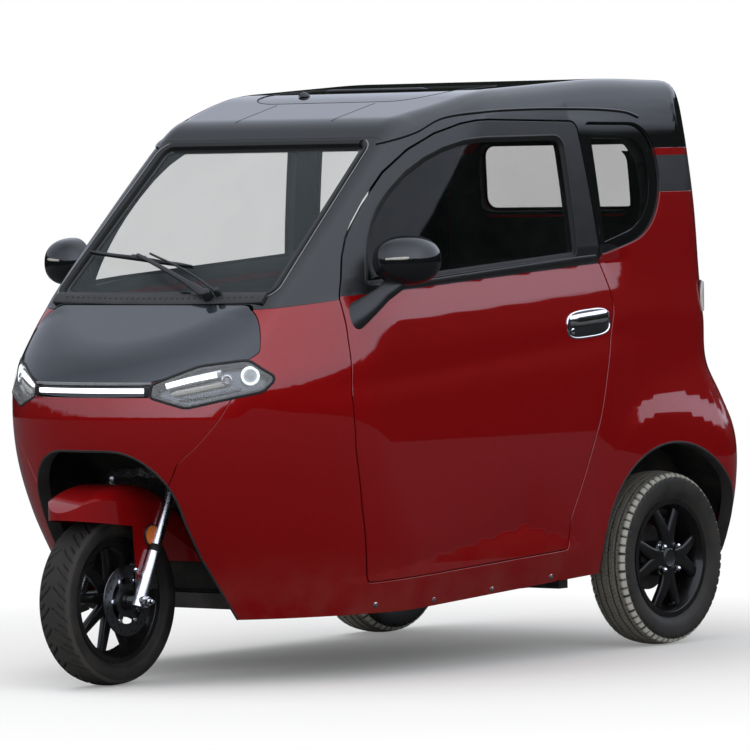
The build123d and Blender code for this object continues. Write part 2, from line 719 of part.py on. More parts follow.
HOUSE_X, HOUSE_REAR, HOUSE_TOP = 290.0, -618.0, 642.0
HOUSE = [(-1006, 100, 0), (-1006, HOUSE_TOP, 0), (HOUSE_REAR, HOUSE_TOP, 240), (HOUSE_REAR, 100, 0)]
with BuildPart() as front_wheelhouse:
    add(prism_x(HOUSE, -HOUSE_X, HOUSE_X))
    add(prism_x(HOUSE, 4 - HOUSE_X, HOUSE_X - 4, -4), mode=Mode.SUBTRACT)
    add(block((-600, 600), (-1300, -1001), (0, 900)), mode=Mode.SUBTRACT)
    add(block((-600, 600), (-1300, 0), (0, FLOOR_Z + SHEET)), mode=Mode.SUBTRACT)
    add(tube(along(STEER_POINT, 380), along(STEER_POINT, 480), 46), mode=Mode.SUBTRACT)
    add(inside, mode=Mode.INTERSECT)
save(front_wheelhouse.part, "front_wheelhouse")

LINER_R, LINER_X = 318.0, (418.0, 560.0)
with BuildPart() as rear_wheelhouse:
    add(tube((LINER_X[0], REAR_ARCH_Y, REAR_ARCH_Z), (LINER_X[1], REAR_ARCH_Y, REAR_ARCH_Z), LINER_R))
    add(
        tube((LINER_X[0] + 4, REAR_ARCH_Y, REAR_ARCH_Z), (700, REAR_ARCH_Y, REAR_ARCH_Z), LINER_R - 4),
        mode=Mode.SUBTRACT,
    )
    add(block((300, 425), (400, 1300), (-100, REAR_RAIL_Z[0] + 20)), mode=Mode.SUBTRACT)
    add(block((300, 700), (400, 1300), (-100, FLOOR_Z + SHEET)), mode=Mode.SUBTRACT)
    add(cavity, mode=Mode.INTERSECT)
save(Compound(children=both(rear_wheelhouse.part)), "rear_wheelhouses")

# rear axle: tube, final drive housing, drum brakes and the stubs the rims turn on
with BuildPart() as rear_axle:
    add(tube((-440, REAR_AXLE_Y, REAR_TYRE_R), (440, REAR_AXLE_Y, REAR_TYRE_R), 28))
    add(tube((-85, REAR_AXLE_Y, REAR_TYRE_R), (85, REAR_AXLE_Y, REAR_TYRE_R), 84))
    add(tube((85, REAR_AXLE_Y + 10, REAR_TYRE_R), (210, REAR_AXLE_Y + 10, REAR_TYRE_R), 66))
    for s in (1, -1):
        add(tube((s * 432, REAR_AXLE_Y, REAR_TYRE_R), (s * 478, REAR_AXLE_Y, REAR_TYRE_R), 92))
        add(
            tube(
                (s * 470, REAR_AXLE_Y, REAR_TYRE_R), (s * 552, REAR_AXLE_Y, REAR_TYRE_R),
                REAR_BORE_R - FIT,
            )
        )
save(rear_axle.part, "rear_axle")

# leaf springs: bowed strips under the rear rails, seated on the axle tube
SPRING_X, SPRING_W, LEAF = 300.0, 44.0, 16.0
with BuildPart() as rear_spring:
    low = REAR_TYRE_R + 28
    with BuildSketch(Plane.YZ.offset(SPRING_X - SPRING_W / 2)):
        with BuildLine():
            ThreePointArc((640, 318), (REAR_AXLE_Y, low), (1060, 318))
            Line((1060, 318), (1060, 318 + LEAF))
            ThreePointArc((1060, 318 + LEAF), (REAR_AXLE_Y, low + LEAF), (640, 318 + LEAF))
            Line((640, 318 + LEAF), (640, 318))
        make_face()
    extrude(amount=SPRING_W)
    for y in (660, 1040):
        add(block((SPRING_X - 16, SPRING_X + 16), (y - 16, y + 16), (326, REAR_RAIL_Z[0])))
    add(tube((100, REAR_AXLE_Y, REAR_TYRE_R), (500, REAR_AXLE_Y, REAR_TYRE_R), 28), mode=Mode.SUBTRACT)
save(Compound(children=both(rear_spring.part)), "rear_springs")

# ---- inside --------------------------------------------------------------------------
DASH = [(-700, 960, 10), (-668, 860, 20), (-604, 700, 20), (-596, 640, 0), (-575, 640, 0),
        (-556, 860, 40), (-584, 940, 30)]
with BuildPart() as dashboard:
    for x_from, x_to in ((-480, -130), (130, 480)):
        add(prism_x(DASH, x_from, x_to))
    add(block((-131, 131), (-596, -575), (640, 760)))
    add(steering_braces(4), mode=Mode.SUBTRACT)
    add(inside, mode=Mode.INTERSECT)
save(dashboard.part, "dashboard")

SEAT_Z = FLOOR_Z + SHEET + 250  # on the battery box
with BuildPart() as driver_seat:
    add(prism_x(
        [(-60, SEAT_Z, 10), (-60, SEAT_Z + 95, 40), (330, SEAT_Z + 85, 20), (430, SEAT_Z + 540, 40),
         (520, SEAT_Z + 535, 40), (440, SEAT_Z, 30)],
        -230, 230,
    ))
save(driver_seat.part, "driver_seat")

with BuildPart() as rear_seat:
    base = BACK_FLOOR_Z + SHEET
    add(prism_x(
        [(625, base, 10), (610, base + 200, 40), (900, base + 190, 20), (950, base + 620, 40),
         (1020, base + 615, 40), (1000, base, 10)],
        -400, 400,
    ))
save(rear_seat.part, "rear_seat")

# tail lamps stand a little proud of the rear corners
LAMP_PROUD = 10.0
with BuildPart() as tail_lamp:
    with Locations((540, 1070, 984)):
        Box(150, 130, 96)
    fillet(tail_lamp.edges().filter_by(Axis.X), 20)
    add(body_form(-LAMP_PROUD), mode=Mode.INTERSECT)
    add(painted.part, mode=Mode.SUBTRACT)
save(Compound(children=both(tail_lamp.part)), "tail_lamps")

# wiper on the screen's plane (across, up the glass, proud of it): pivot, arm and blade
WIPER_PIVOT, ARM_TIP = (180, 8), (-196, 186, 12)
BLADE = ((-362, 190, 1), (45, 131, 1))
with BuildPart() as wiper:

    def on_screen(x, up, proud):
        """Point given across, up and out from the windscreen's plane."""
        return tuple(screen_plane.from_local_coords(Vector(x, up, proud)))

    add(tube(on_screen(*WIPER_PIVOT, -10), on_screen(*WIPER_PIVOT, 24), 14))
    add(tube(on_screen(*WIPER_PIVOT, 18), on_screen(*ARM_TIP), 6))
    add(tube(on_screen(*BLADE[0]), on_screen(*BLADE[1]), 6))
    add(tube(on_screen(-165, 162, 0), on_screen(-165, 162, 16), 8))
    add(painted.part, mode=Mode.SUBTRACT)
save(wiper.part, "wiper")
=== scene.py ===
"""Looks of a three wheeled cabin car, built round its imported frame.

Shapes are worked out in millimetres and turned to metres when their mesh is made.
The front is -Y, the car's left side is +X, the ground is Z = 0.
"""

from math import atan2, ceil, cos, hypot, pi, radians, sin, tan

import bmesh
import bpy
import numpy as np
from mathutils import Matrix, Vector


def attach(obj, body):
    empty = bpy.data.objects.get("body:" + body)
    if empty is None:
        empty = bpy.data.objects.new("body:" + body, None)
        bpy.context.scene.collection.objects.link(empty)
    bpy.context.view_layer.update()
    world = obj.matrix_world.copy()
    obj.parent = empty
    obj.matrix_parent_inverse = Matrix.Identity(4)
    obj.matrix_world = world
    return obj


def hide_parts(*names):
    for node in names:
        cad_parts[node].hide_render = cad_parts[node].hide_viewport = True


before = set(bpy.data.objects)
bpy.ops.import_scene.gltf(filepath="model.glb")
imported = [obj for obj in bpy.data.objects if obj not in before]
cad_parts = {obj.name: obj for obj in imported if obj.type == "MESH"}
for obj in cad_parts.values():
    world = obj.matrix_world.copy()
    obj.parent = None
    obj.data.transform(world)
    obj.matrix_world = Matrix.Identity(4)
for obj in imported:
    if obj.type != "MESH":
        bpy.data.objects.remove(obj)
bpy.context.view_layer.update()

UNIT = 0.001  # metres in one millimetre
SIDES = (("left", 1), ("right", -1))

# ---- driving dimensions, in millimetres -----------------------------------------
FRONT_AXLE = np.array((0.0, -952.5, 229.5))
REAR_AXLE = np.array((505.0, 832.5, 247.0))
FRONT_TYRE_R, FRONT_TYRE_W = 229.5, 112.0
REAR_TYRE_R, REAR_TYRE_W = 247.0, 134.0
RIM_R = 158.0
RAKE = radians(26.5)
FORK_UP = np.array((0.0, sin(RAKE), cos(RAKE)))
WALL, DOOR_WALL = 30.0, 34.0  # depth of the turned-in edges of the body's panels
GAP, SEAM = 7.0, 3.0  # shut line round what opens, joint between fixed panels
GLASS_INSET, GLASS = 9.0, 5.0
REAR_ARCH_Y, REAR_ARCH_Z, REAR_ARCH_R = 822.0, 277.0, 300.0

# ---- body form: the same sections and top line as the solids ---------------------
JOIN = radians(51.0)  # from straight ahead, where nose arc meets side arc
FLARE_Y = 480.0
# height, nose Y, nose radius, half width at doors, at rear wings, tail Y, corner radius
SECTIONS = np.array([
    (150, -840, 465, 512, 516, 1140, 100),
    (300, -905, 500, 555, 572, 1168, 120),
    (450, -985, 525, 565, 603, 1178, 125),
    (600, -1035, 545, 567, 602, 1177, 130),
    (700, -1048, 550, 566, 585, 1150, 140),
    (800, -1045, 550, 562, 567, 1112, 145),
    (920, -985, 530, 553, 556, 1103, 135),
    (1030, -915, 495, 540, 544, 1100, 130),
    (1250, -680, 500, 520, 526, 1092, 115),
    (1450, -470, 480, 496, 501, 1080, 105),
    (1640, -260, 460, 464, 468, 1065, 95),
], float)
# side view corners of bonnet, windscreen, brow, roof and tail: Y, Z, radius
TOP_LINE = [
    (-1056, 840, 0),
    (-725, 1022, 25),
    (-192, 1502, 150),
    (130, 1580, 900),
    (700, 1612, 2500),
    (1074, 1602, 75),
    (1120, 1300, 0),
]
# how far the edge between sides and top is rounded: Y, depth of the blend
EDGE_BLEND = [(-1100, 80), (-780, 75), (-690, 26), (-260, 26), (-130, 53), (1200, 53)]
CORE = np.array((0.0, 60.0, 700.0))  # every ray to the skin starts here


def held(x):
    """Numbers held between 0 and 1."""
    return np.clip(x, 0, 1)


def smooth_min(a, b, depth):
    """Smaller of a and b, with their meeting rounded by up to a quarter of depth."""
    h = np.clip(depth - np.abs(a - b), 0, None) / depth
    return np.minimum(a, b) - h * h * depth / 4


def section_values(z):
    """Section table at heights z: a cubic through neighbouring rows with their mean slopes."""
    heights, rows = SECTIONS[:, 0], SECTIONS[:, 1:]
    slopes = np.gradient(rows, heights, axis=0)
    z = np.clip(z, heights[0], heights[-1])
    i = np.clip(np.searchsorted(heights, z) - 1, 0, len(heights) - 2)
    span = (heights[i + 1] - heights[i])[:, None]
    t = (z[:, None] - heights[i][:, None]) / span
    start, end = rows[i], rows[i + 1]
    m0, m1 = slopes[i] * span, slopes[i + 1] * span
    value = (2 * t**3 - 3 * t**2 + 1) * start + (t**3 - 2 * t**2 + t) * m0
    return (value + (3 * t**2 - 2 * t**3) * end + (t**3 - t**2) * m1).T


def plan_depth(p):
    """Depth inside the plan outline: two tangent arcs, a flank, a corner arc and the tail."""
    nose, r1, half, rear, tail, rt = section_values(p[:, 2])
    x, y = np.abs(p[:, 0]), p[:, 1]
    r3 = (half - r1 * sin(JOIN)) / (1 - sin(JOIN))
    x0, y0 = (r1 - r3) * sin(JOIN), nose + r1 - (r1 - r3) * cos(JOIN)
    in_side = (x - x0) * cos(JOIN) > (y0 - y) * sin(JOIN)
    nose_arc = r1 - np.hypot(x, nose + r1 - y)
    side_arc = r3 - np.hypot(x - x0, y0 - y)
    slope = (rear - half) / (tail - rt - FLARE_Y)
    flank = half + slope * np.clip(y - FLARE_Y, 0, None) - x
    corner = rt - np.hypot(x - rear + rt, y - tail + rt)
    behind = y > tail - rt
    zones = [(y < y0) & ~in_side, (y < y0) & in_side, behind & (x > rear - rt), behind]
    return np.select(zones, [nose_arc, side_arc, corner, tail - y], flank)


def top_depth(p):
    """Depth below the top line: half planes, met with arcs of the table's radii."""
    def below(a, b):
        run = np.array((b[0] - a[0], b[1] - a[1]), float)
        up = np.array((-run[1], run[0])) / hypot(*run)
        return -((p[:, 1] - a[0]) * up[0] + (p[:, 2] - a[1]) * up[1]), atan2(run[1], run[0])

    depth, last = below(TOP_LINE[0], TOP_LINE[1])
    for i in range(1, len(TOP_LINE) - 1):
        nxt, turn = below(TOP_LINE[i], TOP_LINE[i + 1])
        blend = 4 * TOP_LINE[i][2] * (1 - cos((turn - last) / 2)) + 1e-3
        if turn > last:  # hollow corner at the foot of the windscreen
            depth = -smooth_min(-depth, -nxt, blend)
        else:
            depth = smooth_min(depth, nxt, blend)
        last = turn
    return depth


def crease_relief(p):
    """Sculpted flanks: tucked in along a line near the sill, a facet over the nose, a soft
    shoulder line, a valley under the side glass and a bulge round the rear arch."""
    x, y, z = np.abs(p[:, 0]), p[:, 1], p[:, 2]
    line = np.interp(y, [-640, -470, 178, 387, 430], [262, 280, 378, 326, 306])
    foot = np.interp(y, [-470, 365], [258, 298])
    rise = held((z - foot) / np.clip(line - foot, 4, None))
    above = held((z - line) / 200)
    wedge = 0.25 * np.clip(line - foot - 6, 0, None) * np.where(z > line, (1 - above) ** 2, rise)
    shoulder = np.interp(y, [-900, -545, 592], [800, 842, 935])
    swell = np.interp(y, [-900, -600, 500, 900], [0, 1, 1, 0])
    facet = 9 * held((z - 712) / 60) * held((880 - z) / 70)
    facet = facet * held((430 - x) / 90) * (y < -700)
    belt = np.interp(y, [-545, -354, 600], [1030, 1040, 1094])
    valley = 11 * held((z - belt + 85) / 85) ** 1.4 * held((belt + 46 - z) / 46)
    valley = valley * np.interp(y, [-620, -500, 600, 700], [0, 1, 1, 0])
    r = np.hypot(y - REAR_ARCH_Y, z - REAR_ARCH_Z)
    bulge = 8 * held((r - 385) / 55) * held((680 - r) / 200)
    bulge = bulge * np.interp(y, [560, 680, 1060, 1120], [0, 1, 1, 0]) * held((z - 400) / 150)
    return wedge + facet + valley + bulge + 3.5 * swell * np.exp(-(((z - shoulder + 45) / 40) ** 2))


def depth_inside(p):
    """Depth of points below the painted skin, positive inside."""
    blend = np.interp(p[:, 1], *np.array(EDGE_BLEND, float).T)
    return smooth_min(plan_depth(p) - crease_relief(p), top_depth(p), blend)


def skin_normals(p):
    """Outward unit normals of the skin, from central differences of the depth."""
    step = 1.5
    grad = [depth_inside(p - step * axis) - depth_inside(p + step * axis) for axis in np.eye(3)]
    n = np.stack(grad, 1)
    return n / np.linalg.norm(n, axis=1, keepdims=True)


def on_skin(towards, level=0.0):
    """Points where rays from the core through `towards` reach `level` below the skin."""
    ray = towards - CORE
    low, high = np.full(len(ray), 0.05), np.full(len(ray), 1.3)
    for _ in range(30):
        mid = (low + high) / 2
        inside = depth_inside(CORE + ray * mid[:, None]) > level
        low, high = np.where(inside, mid, low), np.where(inside, high, mid)
    return CORE + ray * low[:, None]


# ---- outlines in side view (Y, Z, radius) and front view (X, Z, radius) -----------
DOOR = [
    (-470, 258, 12), (-600, 690, 1000), (-545, 1024, 12), (-496, 1166, 380),
    (-300, 1366, 700), (-104, 1470, 640), (60, 1499, 600), (510, 1490, 30),
    (560, 1107, 12), (600, 975, 90), (500, 650, 600), (365, 385, 90), (365, 300, 20),
]
WINDOW = [
    (-458, 1056, 15), (-422, 1215, 380), (-135, 1448, 600), (440, 1452, 40), (456, 1112, 15),
]
QUARTER_GLASS = [(548, 1486, 20), (852, 1482, 105), (880, 1190, 190), (566, 1112, 20)]
BELT = [(-640, 1030, 0), (-545, 1030, 0), (-354, 1040, 0), (600, 1094, 0), (600, 1560, 0),
        (-640, 1560, 0)]
BONNET = [
    (-1150, 808, 0), (-1003, 808, 0), (-919, 857, 40), (-828, 872, 30), (-800, 890, 30),
    (-752, 1000, 10), (-728, 1026, 0), (-728, 1200, 0), (-1150, 1200, 0),
]
NOSE = [(-1150, 400, 0), (-966, 400, 0), (-966, 600, 60), (-880, 775, 0), (-880, 808, 0),
        (-1150, 808, 0)]
FRONT_SIDE = [
    (-1150, 168, 0), (-300, 176, 0), (340, 213, 0), (340, 330, 0), (-400, 330, 0),
    (-400, 1021, 0), (-545, 1021, 0), (-752, 1000, 0), (-1150, 1000, 0),
]
SURROUND = [(-1150, 1003, 0), (-752, 1003, 0), (-530, 1024, 0), (-470, 1160, 0),
            (-246, 1365, 0), (-246, 1750, 0), (-1150, 1750, 0)]
ROOF = [(-243, 1330, 0), (480, 1330, 0), (480, 1106, 0), (574, 1106, 0), (574, 1300, 0),
        (700, 1414, 0), (1300, 1414, 0), (1300, 1750, 0), (-243, 1750, 0)]
REAR_BAND = [(800, 1289, 0), (1300, 1289, 0), (1300, 1411, 0), (800, 1411, 0)]
RED_LINE = [(800, 1391, 0), (1300, 1391, 0), (1300, 1411, 0), (800, 1411, 0)]
REAR_QUARTER = [
    (343, 213, 0), (620, 228, 0), (1300, 262, 0), (1300, 1286, 0), (700, 1286, 0),
    (577, 1200, 0), (577, 1103, 0), (500, 1103, 0), (500, 1000, 0), (400, 700, 0), (343, 420, 0),
]
FRONT_ARCH = [(-312, 40, 0), (-254, 330, 300), (-240, 632, 165), (240, 632, 165),
              (254, 330, 300), (312, 40, 0)]
HEADLAMP = [(207, 808, 0), (207, 776, 6), (294, 748, 30), (446, 788, 20), (463, 822, 14),
            (407, 869, 25), (312, 855, 60)]
BOOT = [(-430, 620, 60), (-414, 1290, 40), (-345, 1462, 60), (345, 1462, 60),
        (414, 1290, 40), (430, 620, 60)]
REAR_WINDOW = [(-285, 1232, 45), (-280, 1436, 45), (280, 1436, 45), (285, 1232, 45)]
SCREEN = [(-386, 22, 45), (-366, 632, 40), (366, 632, 40), (386, 22, 45)]
SCREEN_FOOT, SCREEN_HEAD = np.array((0, -725.0, 1022.0)), np.array((0, -192.0, 1502.0))
SCREEN_UP = (SCREEN_HEAD - SCREEN_FOOT) / np.linalg.norm(SCREEN_HEAD - SCREEN_FOOT)
SCREEN_OUT = np.cross((1, 0, 0), SCREEN_UP)


def rounded_loop(corners, turn_step=radians(9)):
    """Closed loop of points through corners (a, b, radius), each corner an arc."""
    points = np.array([c[:2] for c in corners], float)
    loop = []
    for i, (_, _, radius) in enumerate(corners):
        corner = points[i]
        back, on = points[i - 1] - corner, points[(i + 1) % len(points)] - corner
        back, on = back / hypot(*back), on / hypot(*on)
        turn = pi - np.arccos(np.clip(back @ on, -1, 1))
        if not radius or turn < 1e-3:
            loop.append(corner[None])
            continue
        bisector = (back + on) / hypot(*(back + on))
        centre = corner + bisector * radius / cos(turn / 2)
        start = corner + back * radius * tan(turn / 2) - centre
        side = np.sign(back[0] * on[1] - back[1] * on[0])
        angles = -side * np.linspace(0, turn, max(2, ceil(turn / turn_step)) + 1)
        c, s = np.cos(angles), np.sin(angles)
        loop.append(centre + np.stack((start[0] * c - start[1] * s, start[0] * s + start[1] * c),
                                      1))
    return np.concatenate(loop)


def rounded_box(low, high, radius):
    """Closed loop round a rectangle between two corners (a, b), its corners rounded."""
    (a0, b0), (a1, b1) = low, high
    return rounded_loop([(a0, b0, radius), (a0, b1, radius), (a1, b1, radius), (a1, b0, radius)])


def loop_distance(q, loop):
    """Signed distance of plane points q from a closed loop, negative inside."""
    a, b = loop, np.roll(loop, -1, axis=0)
    low, high = loop.min(0) - 60, loop.max(0) + 60
    near = np.flatnonzero(((q > low) & (q < high)).all(1))
    result = np.full(len(q), 60.0)
    if not len(near):
        return result
    p, run = q[near][:, None], b - a
    t = held(((p - a) * run).sum(2) / ((run**2).sum(1) + 1e-12))
    gap = np.linalg.norm(p - a - t[..., None] * run, axis=2).min(1)
    crosses = (a[:, 1] > p[..., 1]) != (b[:, 1] > p[..., 1])
    at = a[:, 0] + (p[..., 1] - a[:, 1]) * run[:, 0] / np.where(run[:, 1] == 0, 1, run[:, 1])
    inside = (crosses & (p[..., 0] < at)).sum(1) % 2 == 1
    result[near] = np.where(inside, -gap, gap)
    return result


def side_view(corners, grow=0.0):
    """Distance function of an outline carried across the car."""
    loop = rounded_loop(corners)
    return lambda p: loop_distance(p[:, 1:], loop) - grow


def end_view(corners, grow=0.0, front=True):
    """Distance function of an outline carried along the car, at its front or its back."""
    loop = rounded_loop(corners)
    if front:
        return lambda p: np.maximum(loop_distance(p[:, ::2], loop) - grow, p[:, 1] + 700)
    return lambda p: np.maximum(loop_distance(p[:, ::2], loop) - grow, 880 - p[:, 1])


def brick(low, high):
    """Distance function of a box between two corners."""
    low, high = np.array(low, float), np.array(high, float)
    return lambda p: np.maximum(low - p, p - high).max(1)


def screen_view(grow=0.0):
    """Distance function of the windscreen's outline, drawn on its own sloping plane."""
    loop = rounded_loop(SCREEN)

    def distance(p):
        up, out = (p - SCREEN_FOOT) @ SCREEN_UP, (p - SCREEN_FOOT) @ SCREEN_OUT
        flat = loop_distance(np.stack((p[:, 0], up), 1), loop) - grow
        return np.maximum(flat, np.abs(out) - 60)
    return distance


def rear_arch(p):
    """Distance function of the round rear wheel arch."""
    return np.hypot(p[:, 1] - REAR_ARCH_Y, p[:, 2] - REAR_ARCH_Z) - REAR_ARCH_R


def top_view(corners, grow=0.0):
    """Distance function of an outline on the roof, seen from above."""
    loop = rounded_loop(corners)
    return lambda p: np.maximum(loop_distance(p[:, :2], loop) - grow, 1400 - p[:, 2])


def roof_line(start, end, half):
    """Distance function of a narrow band on the roof between two points (x, y)."""
    a, run = np.array(start, float), np.array(end, float) - start

    def distance(p):
        t = held(((p[:, :2] - a) @ run) / (run @ run))
        flat = np.linalg.norm(p[:, :2] - a - t[:, None] * run, axis=1) - half
        return np.maximum(flat, 1400 - p[:, 2])
    return distance


SKYLIGHT_EDGE = [(-400, 22, 0), (-400, 395, 0), (330, 395, 60), (330, 22, 130)]
CUTS = {
    "door": side_view(DOOR, -GAP / 2), "door_gap": side_view(DOOR, GAP / 2),
    "window": side_view(WINDOW), "belt": side_view(BELT),
    "quarter": side_view(QUARTER_GLASS, SEAM), "screen": screen_view(),
    "bonnet": side_view(BONNET, -SEAM / 2), "bonnet_gap": side_view(BONNET, SEAM / 2),
    "nose": side_view(NOSE, -SEAM / 2), "nose_gap": side_view(NOSE, SEAM / 2),
    "lamp": end_view(HEADLAMP, -SEAM / 2), "lamp_gap": end_view(HEADLAMP, SEAM / 2),
    "bar": brick((-204, -1200, 775), (204, -900, 807)),
    "bar_gap": brick((-205.5, -1200, 773), (205.5, -900, 808)),
    "front_arch": end_view(FRONT_ARCH), "rear_arch": rear_arch,
    "front_side": side_view(FRONT_SIDE), "surround": side_view(SURROUND),
    "cowl": brick((0, -800, 900), (340, -400, 1100)),
    "roof": side_view(ROOF), "roof_gap": side_view(ROOF, SEAM),
    "band": side_view(REAR_BAND), "red_line": side_view(RED_LINE),
    "rear_quarter": side_view(REAR_QUARTER),
    "boot": end_view(BOOT, -GAP / 2, False), "boot_gap": end_view(BOOT, GAP / 2, False),
    "rear_window": end_view(REAR_WINDOW, 0, False),
    "tail": brick((-430, 900, 254), (430, 1300, 613)),
    "tail_gap": brick((-431.5, 900, 200), (431.5, 1300, 616.5)),
    "screen_clear": screen_view(-24), "quarter_clear": side_view(QUARTER_GLASS, -34),
    "skylight": top_view(SKYLIGHT_EDGE), "skylight_gap": top_view(SKYLIGHT_EDGE, 3),
    "channel": roof_line((172, -222), (176, 6), 4.0),
    "pillar_part": brick((0, 440, 0), (700, 760, 1420)),
}


class Skin:
    """Left half of the body's skin as triangles, split along every shut line and opening.

    The skin is the distance of a box's surface points from the core, scaled so that
    each ray ends where the depth is zero: a function of two parameters on each side of
    the box. `marks` says, cut by cut, which triangles lie inside it."""

    LOW, HIGH = np.array((0.0, -1075.0, -450.0)), np.array((625.0, 1200.0, 1640.0))

    def __init__(self, step):
        sides = [(0, self.HIGH[0]), (1, self.LOW[1]), (1, self.HIGH[1]), (2, self.HIGH[2])]
        points, faces, start = [], [], 0
        counts = np.ceil((self.HIGH - self.LOW) / step).astype(int) + 1
        for axis, value in sides:
            a, b = [k for k in range(3) if k != axis]
            grid = np.empty((counts[a], counts[b], 3))
            grid[..., axis] = value
            grid[..., a] = np.linspace(self.LOW[a], self.HIGH[a], counts[a])[:, None]
            grid[..., b] = np.linspace(self.LOW[b], self.HIGH[b], counts[b])[None]
            index = np.arange(grid.size // 3).reshape(grid.shape[:2]) + start
            p, q, r, s = index[:-1, :-1], index[1:, :-1], index[1:, 1:], index[:-1, 1:]
            faces += [np.stack((p, q, r), -1).reshape(-1, 3),
                      np.stack((p, r, s), -1).reshape(-1, 3)]
            points.append(grid.reshape(-1, 3))
            start += grid.size // 3
        box = np.concatenate(points)
        _, first, same = np.unique(np.round(box, 2), axis=0, return_index=True, return_inverse=True)
        self.points = on_skin(box[first])
        self.tris = same.reshape(-1)[np.concatenate(faces)]
        a, b, c = (self.points[self.tris[:, k]] for k in range(3))
        inward = (np.cross(b - a, c - a) * (a - CORE)).sum(1) < 0
        self.tris[inward] = self.tris[inward][:, ::-1]
        self.marks = {}

    def cut(self, name, distance):
        """Split the triangles that a cut crosses, and mark those inside it."""
        g = distance(self.points)
        inside = g < 0
        flags = inside[self.tris]
        mixed = flags.any(1) & ~flags.all(1)
        tri, flag = self.tris[mixed], flags[mixed]
        single = np.where(flag.sum(1) == 1, flag.argmax(1), (~flag).argmax(1))
        row = np.arange(len(tri))
        a, b, c = (tri[row, (single + k) % 3] for k in range(3))
        ends = np.sort(np.concatenate((np.stack((a, b), 1), np.stack((a, c), 1))), axis=1)
        ends, inverse = np.unique(ends, axis=0, return_inverse=True)
        inverse = inverse.reshape(-1) + len(self.points)
        ab, ac = inverse[: len(a)], inverse[len(a):]
        low, high = self.points[ends[:, 0]], self.points[ends[:, 1]]
        flipped = inside[ends[:, 1]]
        low, high = np.where(flipped[:, None], high, low), np.where(flipped[:, None], low, high)
        for _ in range(16):  # low stays inside the cut, high outside
            mid = (low + high) / 2
            within = (distance(mid) < 0)[:, None]
            low, high = np.where(within, mid, low), np.where(within, high, mid)
        self.points = np.concatenate((self.points, on_skin((low + high) / 2)))
        lone = inside[a]
        pieces = [np.stack((a, ab, ac), 1), np.stack((ab, b, c), 1), np.stack((ab, c, ac), 1)]
        self.tris = np.concatenate((self.tris[~mixed], *pieces))
        for key, mark in self.marks.items():
            self.marks[key] = np.concatenate((mark[~mixed], *[mark[mixed]] * 3))
        self.marks[name] = np.concatenate((flags[~mixed][:, 0], lone, ~lone, ~lone))


# ---- making pieces -------------------------------------------------------------------
def add_piece(name, points, faces, material, body, slot=None, replaced=(), normals=None,
              smooth=True):
    """Make one mesh from points in millimetres, put it on its body and hide the solids it
    stands for. The argument slot is not used."""
    mesh = bpy.data.meshes.new(name)
    mesh.from_pydata((np.asarray(points) * UNIT).tolist(), [], [list(f) for f in faces])
    mesh.polygons.foreach_set("use_smooth", [smooth] * len(mesh.polygons))
    mesh.materials.append(material)
    if normals is not None:
        mesh.normals_split_custom_set_from_vertices(np.asarray(normals).tolist())
    mesh.validate(clean_customdata=False)
    piece = bpy.data.objects.new(name, mesh)
    bpy.context.scene.collection.objects.link(piece)
    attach(piece, body)
    if replaced:
        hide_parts(*replaced)
    return piece


def tidy_arrays(points, tris):
    """Drop unused points."""
    used, index = np.unique(tris, return_inverse=True)
    return points[used], index.reshape(-1, 3)


def mirror_half(points, tris):
    """Both halves of a centre piece, joined where x is 0."""
    n, middle = len(points), np.abs(points[:, 0]) < 1e-6
    other = np.where(middle, np.arange(n), np.arange(n) + n)
    both = np.concatenate((points, points * (-1, 1, 1)))
    return tidy_arrays(both, np.concatenate((tris, other[tris][:, ::-1])))


def open_edges(tris, count):
    """Ends of the edges that only one triangle uses, in that triangle's order."""
    i, j = np.concatenate([tris[:, [k, (k + 1) % 3]] for k in range(3)]).T
    alone = ~np.isin(i * count + j, j * count + i)
    return i[alone], j[alone]


def outward_sums(points, i, j, n):
    """For each point, the sum over its rim edges of the edge crossed with the normal."""
    outward = np.zeros_like(points)
    across = np.cross(points[j] - points[i], n[i])
    np.add.at(outward, i, across)
    np.add.at(outward, j, across)
    return outward


def flattened(e, n):
    """Unit vectors along e with their share of the normals taken out."""
    e = e - (e * n).sum(1, keepdims=True) * n
    return e / (np.linalg.norm(e, axis=1, keepdims=True) + 1e-9)


def panel(points, tris, wall, rim=2.0):
    """Closed panel: its skin, a round edge turned in by `wall`, and an inner skin.

    Row k of the edge lies rim*sin(a) outwards and rim*(1-cos(a)) down for a from 0 to 90
    degrees, then runs straight down the skin's normal. The inner skin is the outer one
    moved down its normals."""
    n, count = skin_normals(points), len(points)
    i, j = open_edges(tris, count)
    ids = np.unique(np.concatenate((i, j)))
    base, up = points[ids], n[ids]
    e = flattened(outward_sums(points, i, j, n)[ids], up)
    local = np.zeros(count, int)
    local[ids] = np.arange(len(ids))
    inner = points - n * wall
    inner[ids] += e * rim
    all_points, all_normals, rows = [points, inner], [n, -n], [ids]
    bends = [(radians(a), rim * (1 - cos(radians(a)))) for a in (30, 60, 90)]
    for k, (angle, depth) in enumerate(bends + [(pi / 2, wall - 1.5)]):
        all_points.append(base + e * rim * sin(angle) - up * depth)
        all_normals.append(up * cos(angle) + e * sin(angle))
        rows.append(np.arange(len(ids)) + 2 * count + k * len(ids))
    rows.append(ids + count)
    faces = [tris, tris[:, ::-1] + count]
    li, lj = local[i], local[j]
    for top, low in zip(rows, rows[1:]):
        a, b, c, d = top[li], low[li], low[lj], top[lj]
        faces += [np.stack((a, b, c), 1), np.stack((a, c, d), 1)]
    return np.concatenate(all_points), np.concatenate(faces), np.concatenate(all_normals)


def cut_panel(source, keep, level, whole, wall, rim):
    """Panel from some of a skin's triangles, `level` below the skin, left half or whole."""
    points, tris = tidy_arrays(source.points, source.tris[keep])
    if level:
        points = on_skin(points, level)
    if whole:
        points, tris = mirror_half(points, tris)
    return panel(points, tris, wall, rim)


